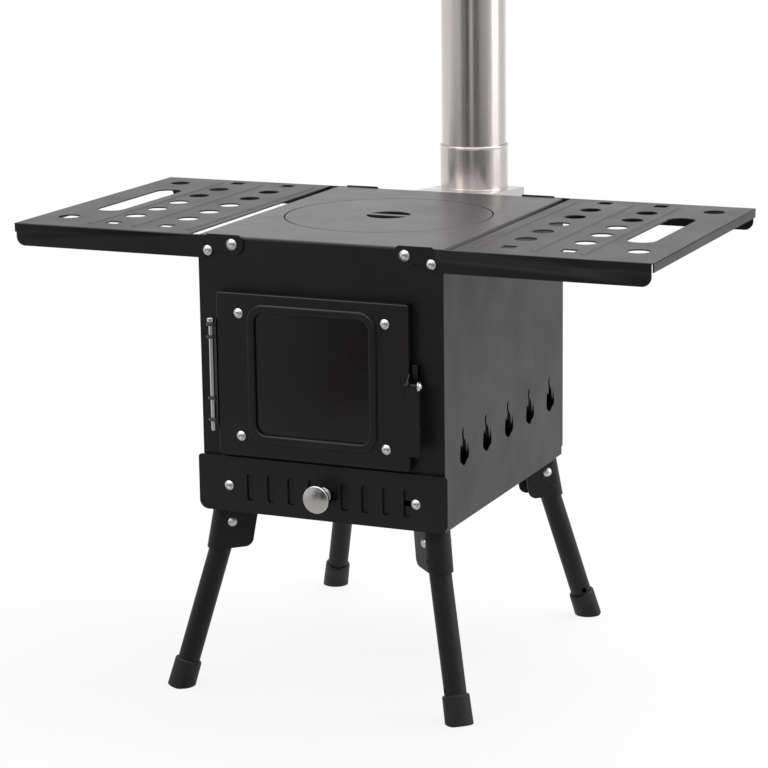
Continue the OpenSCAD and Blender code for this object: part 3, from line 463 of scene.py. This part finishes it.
front, rear, right = Vector((0, -1, 0)), Vector((0, 1, 0)), Vector((1, 0, 0))
thin_shank_r, pivot_shank_r = 0.002, 0.003
screw_set("cover_screw_heads", "cover_screws", thin_shank_r, front)
screw_set("door_screw_heads", "door_screws", thin_shank_r, front)
latch_pin = screw_set("latch_screw_head", "latch_screw", thin_shank_r, right)
latch_pin.data.materials.append(black_powder_coat)
bright_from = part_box("latch_screw")[1].x - head_h - hair
for face in latch_pin.data.polygons:
    face.material_index = int(face.center.x < bright_from)
screw_set("shelf_pivot_screw_heads", "shelf_pivot_screws", pivot_shank_r)
screw_set("shelf_stop_screw_heads", "shelf_stop_screws", thin_shank_r)
screw_set("flue_screw_heads", "flue_screws", thin_shank_r, rear)
satin_plating = stainless("satin_plated_rivets", ("#dddbd8", "#c4c2bf"),
                          roughness=(0.34, 0.44), grain_per_m=(700, 700, 700))
coat_node("leg_pivot_rivets", satin_plating)
coat_node("shelf_pivot_washers", polished_stainless)


# Door: a folded steel pan with a bead pressed round its window. The smoked
# glass-ceramic pane is held behind it by a screwed frame, and a knitted
# glass-fibre rope seals the pan against the front panel.

door = plate_copy("door_panel")
door_low, door_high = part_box("door_panel")
door_face = max((face for face in door.faces if face.normal.y < -0.9),
                key=lambda face: face.calc_area()).calc_center_median().y
bead_stands, bead_round, fold_round, frame_edge_r = 0.0010, 0.0019, 0.0013, 0.00025


def on_bead(edge):
    # On the bead's crest, clear of the pan's face.
    return all(vert.co.y < door_face - bead_stands for vert in edge.verts)


def on_door_rim(edge):
    return (near_outline(middle_of(edge), door_low, door_high, (0, 2))
            and all(abs(vert.co.y - door_face) < 2 * hair for vert in edge.verts))


round_edges(door, bead_round, 5, on_bead)
round_edges(door, fold_round, 4, on_door_rim)
show("door_pan", door, black_powder_coat, "door_panel")
show_sheet("glass_frame", "glass_retainer", black_powder_coat, frame_edge_r)


def smoked_glass():
    # Glass ceramic: clear brown body, polished faces, with a thin soot haze that
    # makes it nearly black over the dark firebox.
    soot_mm = 35
    material, tree, place = new_material("smoked_glass_ceramic")
    soot = add(tree, "ShaderNodeTexNoise",
               {"Vector": place, "Scale": 1000 / soot_mm, "Detail": 4.0})
    haze = add(tree, "ShaderNodeMapRange",
               {"Value": soot.outputs["Fac"], "From Min": 0.4, "From Max": 0.7,
                "To Min": 0.05, "To Max": 0.14})
    shade = add(tree, "ShaderNodeMix",
                {"Factor": soot.outputs["Fac"], "A": linear("#3b3431"), "B": linear("#2d2827")},
                data_type="RGBA")
    glass = add(tree, "ShaderNodeBsdfPrincipled",
                {"Base Color": shade.outputs["Result"], "Roughness": haze.outputs["Result"],
                 "IOR": 1.53, "Transmission Weight": 0.8})
    add(tree, "ShaderNodeOutputMaterial", {"Surface": glass.outputs["BSDF"]})
    return material


coat_node("door_glass", smoked_glass())


def glass_fibre_rope():
    # Knitted glass-fibre rope: dull off-white yarn in a 1.4 mm knit, fuzzy at
    # grazing angles, with painted shade that darkens the yarn in the creases between loops.
    knit_mm, fluff_mm = 1.4, 0.5
    material, tree, place = new_material("knitted_glass_fibre_rope")
    knit = add(tree, "ShaderNodeTexVoronoi",
               {"Vector": place, "Scale": 1000 / knit_mm}, feature="SMOOTH_F1")
    fluff = add(tree, "ShaderNodeTexNoise",
                {"Vector": place, "Scale": 1000 / fluff_mm, "Detail": 3.0})
    height = add(tree, "ShaderNodeMath",
                 {0: knit.outputs["Distance"], 1: fluff.outputs["Fac"]}, operation="ADD")
    # Painted shade: off-white on each loop, a darker grey in the creases where the bump sinks.
    shade = add(tree, "ShaderNodeMix",
                {"Factor": knit.outputs["Distance"], "A": linear("#cfcabc"),
                 "B": linear("#8f897b")}, data_type="RGBA")
    bump = add(tree, "ShaderNodeBump",
               {"Strength": 0.8, "Distance": 0.0004, "Height": height.outputs[0]}, invert=True)
    yarn = add(tree, "ShaderNodeBsdfPrincipled",
               {"Base Color": shade.outputs["Result"], "Roughness": 0.9, "Sheen Weight": 0.3,
                "Normal": bump.outputs["Normal"]})
    add(tree, "ShaderNodeOutputMaterial", {"Surface": yarn.outputs["BSDF"]})
    return material


gasket_low, gasket_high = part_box("door_gasket")
rope_across, rope_corner = 0.004, 0.008
rope_deep = gasket_high.y - gasket_low.y
rope_middle = [(gasket_low[i] + gasket_high[i]) / 2 for i in range(3)]
rope_half = [(gasket_high[i] - gasket_low[i]) / 2 - rope_across / 2 for i in (0, 2)]


def rope_route(count):
    # Evenly spaced stations round a rounded rectangle: x, z and the outward bearing.
    level, upright = [2 * (half - rope_corner) for half in rope_half]
    quarter = math.pi / 2 * rope_corner
    legs = [upright, quarter, level, quarter] * 2
    total = sum(legs)
    for i in range(count):
        run, leg = total * i / count, 0
        while run > legs[leg]:
            run -= legs[leg]
            leg += 1
        turns = leg // 2
        ahead, beside = rope_half if turns % 2 == 0 else rope_half[::-1]
        if leg % 2 == 0:
            bearing, out, along = 0, ahead, run - legs[leg] / 2
        else:
            bearing = run / rope_corner
            out = ahead - rope_corner + rope_corner * math.cos(bearing)
            along = beside - rope_corner + rope_corner * math.sin(bearing)
        cos, sin = math.cos(turns * math.pi / 2), math.sin(turns * math.pi / 2)
        yield (rope_middle[0] + out * cos - along * sin,
               rope_middle[2] + out * sin + along * cos, turns * math.pi / 2 + bearing)


rope = bmesh.new()
rope_sides, rope_stations, rope_plaits, stations_per_plait = 20, 540, 5, 6
plait_depth = 0.10
rope_rings = []
for station, (x, z, bearing) in enumerate(rope_route(rope_stations)):
    ring = bmesh.ops.create_circle(rope, segments=rope_sides, radius=1)["verts"]
    for number, vert in enumerate(ring):
        around = 2 * math.pi * number / rope_sides
        lay = rope_plaits * around + 2 * math.pi * station / stations_per_plait
        plump = 1 - plait_depth + plait_depth * abs(math.cos(lay / 2))
        across = rope_across / 2 * math.cos(around) * plump
        vert.co = (x + across * math.cos(bearing),
                   rope_middle[1] + rope_deep / 2 * math.sin(around) * plump,
                   z + across * math.sin(bearing))
    rope_rings.append(ring)
for ring, following in zip(rope_rings, rope_rings[1:] + rope_rings[:1]):
    for corners in zip(ring, ring[1:] + ring[:1], following[1:] + following[:1], following):
        rope.faces.new(corners)
bmesh.ops.recalc_face_normals(rope, faces=rope.faces)
show("gasket_rope", rope, glass_fibre_rope(), "door_gasket")


# Hinge: a leaf on the door and a bracket on the panel, both in dull dark plating, and
# a bright loose pin that lifts out.

dull_plating = stainless("dull_dark_plating", ("#5e5b5b", "#474545"),
                         roughness=(0.30, 0.40), grain_per_m=(900, 900, 900))
hinge_edge_r = 0.0003
show_sheet("hinge_leaf_plate", "door_hinge_leaf", dull_plating, hinge_edge_r)
show_sheet("hinge_bracket_plate", "hinge_bracket", dull_plating, hinge_edge_r)

pin_low, pin_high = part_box("hinge_pin")
pin_r, pin_tip_r, pin_tip_l = 0.002, 0.0012, 0.0010
pin_l = pin_high.z - pin_low.z
pin_head_r = (pin_high.x - pin_low.x) / 2
pin_seat, pin_crown_r = pin_l - 0.004, 0.0008
pin = turned([(0, 0), (pin_tip_r, 0), (pin_r, pin_tip_l), (pin_r, pin_seat),
              (pin_head_r - edge_break, pin_seat), (pin_head_r, pin_seat + edge_break)]
             + arc(pin_head_r - pin_crown_r, pin_l - pin_crown_r, pin_crown_r, 0, 90, 4)
             + [(0, pin_l)],
             32, Matrix.Translation(((pin_low.x + pin_high.x) / 2,
                                     (pin_low.y + pin_high.y) / 2, pin_low.z)))
show("loose_hinge_pin", pin, polished_stainless, "hinge_pin")


# Latch: a channel folded from sheet, hung on one screw beside the door, with a
# bracket on the door and a keeper loop on the front panel, all powder-coated.

for part, edge_r in (("latch_handle", 0.0004), ("latch_bracket", 0.0003),
                     ("latch_keeper", 0.0003)):
    show_sheet(part + "_plate", part, black_powder_coat, edge_r)


# Side shelves: sheet trays with punched holes and three pressed ribs, their front,
# rear and outer edges folded down. The folds have the press brake's radius, and
# the ribs get sloped flanks.

deck, rib_rise, rib_flank, rib_foot = plate_high.z, 0.0008, 0.0022, 0.0001
brake_r, rib_r = 0.0011, 0.0010


def on_fold(edge, low, high):
    # Level edges along a tray's outer side and its two ends.
    middle = middle_of(edge)
    level = abs((edge.verts[1].co - edge.verts[0].co).normalized().z) < 0.1
    outer = abs(middle.x) > max(abs(low.x), abs(high.x)) - hair
    end = middle.y < low.y + hair or middle.y > high.y - hair
    return level and abs(middle.z - deck) < 2 * hair and (outer or end)


for side in ("left", "right"):
    node = side + "_shelf"
    low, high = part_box(node)
    tray = plate_copy(node)
    crests = [face for face in tray.faces if face.normal.z > 0.9
              and abs(face.calc_center_median().z - deck - rib_rise) < hair]
    flanks = bmesh.ops.inset_individual(tray, faces=crests, thickness=rib_flank)["faces"]
    crest_verts = {vert for face in crests for vert in face.verts}
    for vert in {vert for face in flanks for vert in face.verts} - crest_verts:
        vert.co.z = deck + rib_foot
    round_edges(tray, brake_r, 4, lambda edge: on_fold(edge, low, high))
    round_edges(tray, rib_r, 3, lambda edge: crest_verts.issuperset(edge.verts), least=10)
    show(side + "_shelf_tray", tray, black_powder_coat, node)


# Flue: a stainless box screwed to the rear panel, with a collar welded on its
# sloping top and the chimney pipe standing in the collar. Sheet and pipe are bright
# drawn stainless, so they show the studio in long vertical streaks.

drawn_stainless = stainless("drawn_stainless_flue", ("#d2cdcb", "#bcb6b4"),
                            roughness=(0.19, 0.25), grain_per_m=(1200, 1200, 14), drawn=0.92)
show_sheet("flue_box_sheet", "flue_box", drawn_stainless, edge_r=0.0006, steps=3)

collar_low, collar_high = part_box("flue_collar")
pipe_low, pipe_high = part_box("chimney_pipe")
flue_axis = Vector(((pipe_low.x + pipe_high.x) / 2, (pipe_low.y + pipe_high.y) / 2, 0))
collar_r = (collar_high.x - collar_low.x) / 2
pipe_r, pipe_wall = (pipe_high.x - pipe_low.x) / 2, 0.0008
box_fall, box_depth = 0.007, 0.0985
slope = box_fall / box_depth
collar_foot, collar_top = collar_low.z + slope * collar_r, collar_high.z
bore_r, socket_r, socket_floor = pipe_r - 0.002, pipe_r + 0.0003, pipe_low.z - 0.0003
lip_r, lip_inset, lip_outside_l, lip_inside_l = 0.0012, 0.0004, 0.0030, 0.0022
weld_r, weld_inset = 0.0008, 0.0001

collar = turned([(bore_r, collar_foot), (collar_r, collar_foot),
                 (collar_r, collar_top - lip_outside_l)]
                + arc(collar_r - lip_inset, collar_top - lip_r, lip_r, -60, 150, 8)
                + [(socket_r, collar_top - lip_inside_l), (socket_r, socket_floor),
                   (bore_r, socket_floor), (bore_r, collar_foot)], 96)
for vert in collar.verts:
    if abs(vert.co.z - collar_foot) < hair:
        vert.co.z -= slope * vert.co.y
bmesh.ops.translate(collar, vec=flue_axis, verts=collar.verts)
sloping = Matrix(((1, 0, 0, 0), (0, 1, 0, 0), (0, -slope, 1, 0), (0, 0, 0, 1)))
weld_ring = arc(collar_r - weld_inset, 0, weld_r, 0, 360, 10)
weld = turned(weld_ring[:-1] + weld_ring[:1], 96,
              Matrix.Translation(flue_axis + Vector((0, 0, collar_foot))) @ sloping)
add_copy(collar, weld)
weld.free()
show("collar_tube", collar, drawn_stainless, "flue_collar")

rim_break = 0.0002
pipe = turned([(pipe_r - pipe_wall, pipe_low.z), (pipe_r, pipe_low.z),
               (pipe_r, pipe_high.z - rim_break), (pipe_r - pipe_wall / 2, pipe_high.z),
               (pipe_r - pipe_wall, pipe_high.z - rim_break), (pipe_r - pipe_wall, pipe_low.z)],
              128, Matrix.Translation(flue_axis))
show("chimney_tube", pipe, drawn_stainless, "chimney_pipe")


# Legs: a U-shaped bracket under each corner, a 19 mm tube that folds in on its
# rivet, and a moulded rubber cap that stands flat. The bracket has pressed dimples that
# the tube snaps past, and a small hole is drilled through the tube just above its cap.

def foot_rubber():
    # Moulded rubber: dull black with a fine matt tooling texture.
    tooling_mm, dust_mm = 0.6, 9
    material, tree, place = new_material("moulded_foot_rubber")
    tooling = add(tree, "ShaderNodeTexNoise",
                  {"Vector": place, "Scale": 1000 / tooling_mm, "Detail": 3.0})
    dust = add(tree, "ShaderNodeTexNoise",
               {"Vector": place, "Scale": 1000 / dust_mm, "Detail": 3.0})
    shade = add(tree, "ShaderNodeMix",
                {"Factor": dust.outputs["Fac"], "A": linear("#0f0e0f"), "B": linear("#181718")},
                data_type="RGBA")
    rough = add(tree, "ShaderNodeMapRange",
                {"Value": dust.outputs["Fac"], "To Min": 0.5, "To Max": 0.66})
    bump = add(tree, "ShaderNodeBump",
               {"Strength": 0.3, "Distance": 0.00003, "Height": tooling.outputs["Fac"]})
    rubber = add(tree, "ShaderNodeBsdfPrincipled",
                 {"Base Color": shade.outputs["Result"], "Roughness": rough.outputs["Result"],
                  "IOR": 1.52, "Specular IOR Level": 0.3, "Normal": bump.outputs["Normal"]})
    add(tree, "ShaderNodeOutputMaterial", {"Surface": rubber.outputs["BSDF"]})
    return material


rubber = foot_rubber()
leg_coat = powder_coat("duller_leg_powder_coat", ("#0a080a", "#0f0d0f"), ior=1.36,
                       roughness=(0.42, 0.52), peel_mm=0.9, speck_mm=0.35,
                       peel_depth_mm=0.02)
leg_splay = math.radians(18)
tube_r, tube_wall, tube_top = 0.0095, 0.0012, 0.004
foot_r, foot_l, foot_floor, sole_cut = 0.012, 0.0266, 0.009, 0.006
foot_end_z = foot_r * math.sin(leg_splay) - sole_cut
sole_round, mouth_round, mouth_taper, mouth_r = 0.0012, 0.0018, 0.0004, tube_r + 0.0001
bracket_gap, bracket_t, bracket_edge_r = 0.0003, 0.0015, 0.0004
dimple_r, dimple_round, dimple_sink = 0.0032, 0.0020, 0.0006
dimple_down, dimple_flatness = 0.0155, 0.35
hole_r, hole_above_cap = 0.0023, 0.0035
joint_of = {joint["name"]: joint for joint in frame["joints"]}

for corner in ("front_left", "front_right", "rear_left", "rear_right"):
    pivot = Vector(joint_of[corner + "_leg_fold"]["pos_m"])
    heading = math.atan2(1 if corner.startswith("rear") else -1,
                         1 if corner.endswith("right") else -1)
    down_leg = (Matrix.Translation(pivot) @ Matrix.Rotation(heading, 4, "Z")
                @ Matrix.Rotation(-leg_splay, 4, "Y"))
    leg_l = (pivot.z - foot_end_z) / math.cos(leg_splay)

    channel = plate_copy(corner + "_leg_bracket")
    round_edges(channel, bracket_edge_r)
    for side in (-1, 1):
        pressed = (Matrix.Translation((0, side * (tube_r + bracket_gap + bracket_t),
                                       -dimple_down))
                   @ Matrix.Rotation(math.radians(-90 * side), 4, "X")
                   @ Matrix.Scale(dimple_flatness, 4, (0, 0, 1)))
        dimple = turned([(0, -dimple_sink), (dimple_r, -dimple_sink), (dimple_r, 0)]
                        + arc(dimple_r - dimple_round, -dimple_sink, dimple_round, 17, 80, 4)
                        + [(0, dimple_round - dimple_sink)], 24, down_leg @ pressed)
        add_copy(channel, dimple)
        dimple.free()
    show(corner + "_channel", channel, leg_coat, corner + "_leg_bracket")

    tube_end = foot_floor - leg_l
    tube = turned([(tube_r - tube_wall, tube_end), (tube_r - edge_break, tube_end),
                   (tube_r, tube_end + edge_break), (tube_r, tube_top - edge_break),
                   (tube_r - edge_break, tube_top), (tube_r - tube_wall, tube_top),
                   (tube_r - tube_wall, tube_end)], 64, down_leg)
    drill = bmesh.new()
    drilled = (Matrix.Translation((0, -tube_r, foot_l + hole_above_cap - leg_l))
               @ Matrix.Rotation(math.radians(90), 4, "X"))
    bmesh.ops.create_cone(drill, cap_ends=True, segments=24, radius1=hole_r, radius2=hole_r,
                          depth=0.02, matrix=down_leg @ drilled)
    show(corner + "_tube", carved(tube, drill), leg_coat, corner + "_leg_tube")

    foot = turned([(0, 0)] + arc(foot_r - sole_round, sole_round, sole_round, -90, 0, 4)
                  + [(foot_r - mouth_taper, foot_l - mouth_round - mouth_taper)]
                  + arc(foot_r - mouth_taper - mouth_round, foot_l - mouth_round, mouth_round,
                        0, 90, 5)
                  + [(mouth_r, foot_l - mouth_taper), (mouth_r, foot_floor), (0, foot_floor)],
                  64, down_leg @ Matrix.Translation((0, 0, -leg_l)))
    cut = bmesh.ops.bisect_plane(foot, geom=foot.verts[:] + foot.edges[:] + foot.faces[:],
                                 plane_co=(0, 0, 0), plane_no=(0, 0, -1), clear_outer=True)
    sole = [item for item in cut["geom_cut"] if isinstance(item, bmesh.types.BMEdge)]
    bmesh.ops.contextual_create(foot, geom=sole)
    show(corner + "_rubber_cap", foot, rubber, corner + "_foot")


# Studio: a pale floor that keeps a soft shadow, broad softboxes and a white room
# that is dark behind the camera, which is what the coat and the flue reflect.

floor_mesh = bmesh.new()
bmesh.ops.create_circle(floor_mesh, cap_ends=True, segments=96, radius=30)
floor_data = bpy.data.meshes.new("studio_floor")
floor_mesh.to_mesh(floor_data)
floor_mesh.free()
floor = bpy.data.objects.new("studio_floor", floor_data)
bpy.context.scene.collection.objects.link(floor)

black, white = (0, 0, 0, 1), (1, 1, 1, 1)
glow_by_bearing = ((-180, 1.0), (-71, 0.97), (-57, 0.78), (-28, 0.48), (-18, 0.08),
                   (-11, 0.22), (-4, 0.03), (4, 0.03), (11, 0.60), (16, 0.72),
                   (20, 0.24), (27, 0.08), (37, 0.12), (45, 0.36), (72, 0.56),
                   (87, 0.80), (100, 1.0), (130, 1.0), (146, 0.86), (174, 1.0))


def room_glow(tree, parts):
    # What polish and gloss see of the room, by its bearing in degrees from the front:
    # white walls left and right, dark round the camera, with one narrow bright gap.
    forward = add(tree, "ShaderNodeMath", {0: parts.outputs["Y"], 1: -1.0},
                  operation="MULTIPLY")
    bearing = add(tree, "ShaderNodeMath", {0: parts.outputs["X"], 1: forward.outputs[0]},
                  operation="ARCTAN2")
    round_room = add(tree, "ShaderNodeMapRange",
                     {"Value": bearing.outputs[0], "From Min": -math.pi, "From Max": math.pi})
    glow = add(tree, "ShaderNodeValToRGB", {"Fac": round_room.outputs["Result"]})
    stops = glow.color_ramp.elements
    for number, (degrees, level) in enumerate(glow_by_bearing):
        stop = stops[number] if number < 2 else stops.new(1)
        stop.position = (degrees + 180) / 360
        stop.color = (level, level, level, 1)
    return glow.outputs["Color"]


def studio_paper():
    # Pale matt paper. The camera sees it white and whiter far off. Gloss sees it grey
    # in front of the stove, white behind it, and far off as the room's own glow.
    material, tree, place = new_material("studio_paper")
    about_flue = add(tree, "ShaderNodeMapping",
                     {"Vector": place, "Location": (0, -flue_axis.y, 0)})
    parts = add(tree, "ShaderNodeSeparateXYZ", {0: about_flue.outputs["Vector"]})
    away = add(tree, "ShaderNodeVectorMath", {0: about_flue.outputs["Vector"]},
               operation="LENGTH")
    fade = add(tree, "ShaderNodeMapRange",
               {"Value": away.outputs["Value"], "From Min": 0.8, "From Max": 1.7},
               interpolation_type="SMOOTHSTEP")
    near = add(tree, "ShaderNodeMapRange",
               {"Value": parts.outputs["Y"], "From Min": -0.7, "From Max": 0.2,
                "To Min": 0.5, "To Max": 1.0}, interpolation_type="SMOOTHSTEP")
    near_grey = add(tree, "ShaderNodeMix",
                    {"Factor": near.outputs["Result"], "A": black, "B": white},
                    data_type="RGBA")
    in_gloss = add(tree, "ShaderNodeMix",
                   {"Factor": fade.outputs["Result"], "A": near_grey.outputs["Result"],
                    "B": room_glow(tree, parts)}, data_type="RGBA")
    far_white = add(tree, "ShaderNodeMapRange",
                    {"Value": away.outputs["Value"], "From Min": 0.9, "From Max": 3.5,
                     "To Min": 0.85, "To Max": 1.0}, interpolation_type="SMOOTHSTEP")
    ray = add(tree, "ShaderNodeLightPath")
    whitened = add(tree, "ShaderNodeMath",
                   {0: ray.outputs["Is Camera Ray"], 1: far_white.outputs["Result"]},
                   operation="MULTIPLY")
    matt = add(tree, "ShaderNodeBsdfDiffuse", {"Color": linear("#f4f4f4")})
    plain_white = add(tree, "ShaderNodeEmission", {"Color": white, "Strength": 1.0})
    mirrored = add(tree, "ShaderNodeEmission",
                   {"Color": in_gloss.outputs["Result"], "Strength": 1.0})
    seen = add(tree, "ShaderNodeMixShader",
               {0: whitened.outputs[0], 1: matt.outputs[0], 2: plain_white.outputs[0]})
    shown = add(tree, "ShaderNodeMixShader",
                {0: ray.outputs["Is Glossy Ray"], 1: seen.outputs[0], 2: mirrored.outputs[0]})
    add(tree, "ShaderNodeOutputMaterial", {"Surface": shown.outputs[0]})
    return material


floor_data.materials.append(studio_paper())


def studio_room():
    # White to the camera, softer in front than behind for the light it gives, and to
    # gloss the walls' glow under a bright ceiling.
    world = bpy.data.worlds.new("studio_room")
    world.use_nodes = True
    tree = world.node_tree
    tree.nodes.clear()
    way = add(tree, "ShaderNodeTexCoord").outputs["Generated"]
    parts = add(tree, "ShaderNodeSeparateXYZ", {0: way})
    to_ceiling = add(tree, "ShaderNodeMapRange",
                     {"Value": parts.outputs["Z"], "From Min": 0.05, "From Max": 0.6},
                     interpolation_type="SMOOTHSTEP")
    ceiling = add(tree, "ShaderNodeMapRange",
                  {"Value": parts.outputs["Z"], "From Min": 0.55, "From Max": 0.85,
                   "To Min": 0.9, "To Max": 2.6}, interpolation_type="SMOOTHSTEP")
    mirrored = add(tree, "ShaderNodeMix",
                   {"Factor": to_ceiling.outputs["Result"], "A": room_glow(tree, parts),
                    "B": ceiling.outputs["Result"]}, data_type="RGBA")
    lighting = add(tree, "ShaderNodeMapRange",
                   {"Value": parts.outputs["Y"], "From Min": -0.75, "From Max": -0.1,
                    "To Min": 0.35, "To Max": 0.85}, interpolation_type="SMOOTHSTEP")
    ray = add(tree, "ShaderNodeLightPath")
    room = add(tree, "ShaderNodeBackground",
               {"Color": white, "Strength": lighting.outputs["Result"]})
    gloss = add(tree, "ShaderNodeBackground",
                {"Color": mirrored.outputs["Result"], "Strength": 1.0})
    backdrop = add(tree, "ShaderNodeBackground", {"Color": white, "Strength": 1.0})
    lit = add(tree, "ShaderNodeMixShader",
              {0: ray.outputs["Is Glossy Ray"], 1: room.outputs[0], 2: gloss.outputs[0]})
    shown = add(tree, "ShaderNodeMixShader",
                {0: ray.outputs["Is Camera Ray"], 1: lit.outputs[0], 2: backdrop.outputs[0]})
    add(tree, "ShaderNodeOutputWorld", {"Surface": shown.outputs[0]})
    return world


bpy.context.scene.world = studio_room()


def softbox(name, place, target, size, watts):
    lamp = bpy.data.lights.new(name, "AREA")
    lamp.shape = "RECTANGLE"
    lamp.size, lamp.size_y = size
    lamp.energy = watts
    holder = bpy.data.objects.new(name, lamp)
    bpy.context.scene.collection.objects.link(holder)
    holder.location = place
    holder.rotation_euler = (Vector(target) - Vector(place)).to_track_quat("-Z", "Y").to_euler()


softbox("key_softbox", (-1.6, -2.2, 2.3), target=(0, 0, 0.3), size=(1.4, 1.4), watts=16)
softbox("side_softbox", (2.6, 0.9, 1.3), target=(0.1, 0, 0.3), size=(1.6, 1.8), watts=26)
softbox("top_softbox", (0.2, 1.2, 2.6), target=(0, 0, 0.3), size=(2.2, 1.4), watts=34)

camera_place = (0.9268, -2.1216, 0.7684)
azimuth, tilt, roll = math.radians(24.049), math.radians(12.903), math.radians(-0.784)
level = Vector((math.cos(azimuth), math.sin(azimuth), 0))
view = Vector((-math.sin(azimuth) * math.cos(tilt), math.cos(azimuth) * math.cos(tilt),
               -math.sin(tilt)))
upright = level.cross(view)
camera_right = level * math.cos(roll) + upright * math.sin(roll)
camera_up = upright * math.cos(roll) - level * math.sin(roll)
camera_data = bpy.data.cameras.new("studio_camera")
camera_data.sensor_width = 36
camera_data.lens = 124.03
camera = bpy.data.objects.new("studio_camera", camera_data)
bpy.context.scene.collection.objects.link(camera)
camera.matrix_world = (Matrix.Translation(camera_place)
                       @ Matrix((camera_right, camera_up, -view)).transposed().to_4x4())
bpy.context.scene.camera = camera
bpy.context.scene.view_settings.view_transform = "Standard"

bpy.context.view_layer.update()
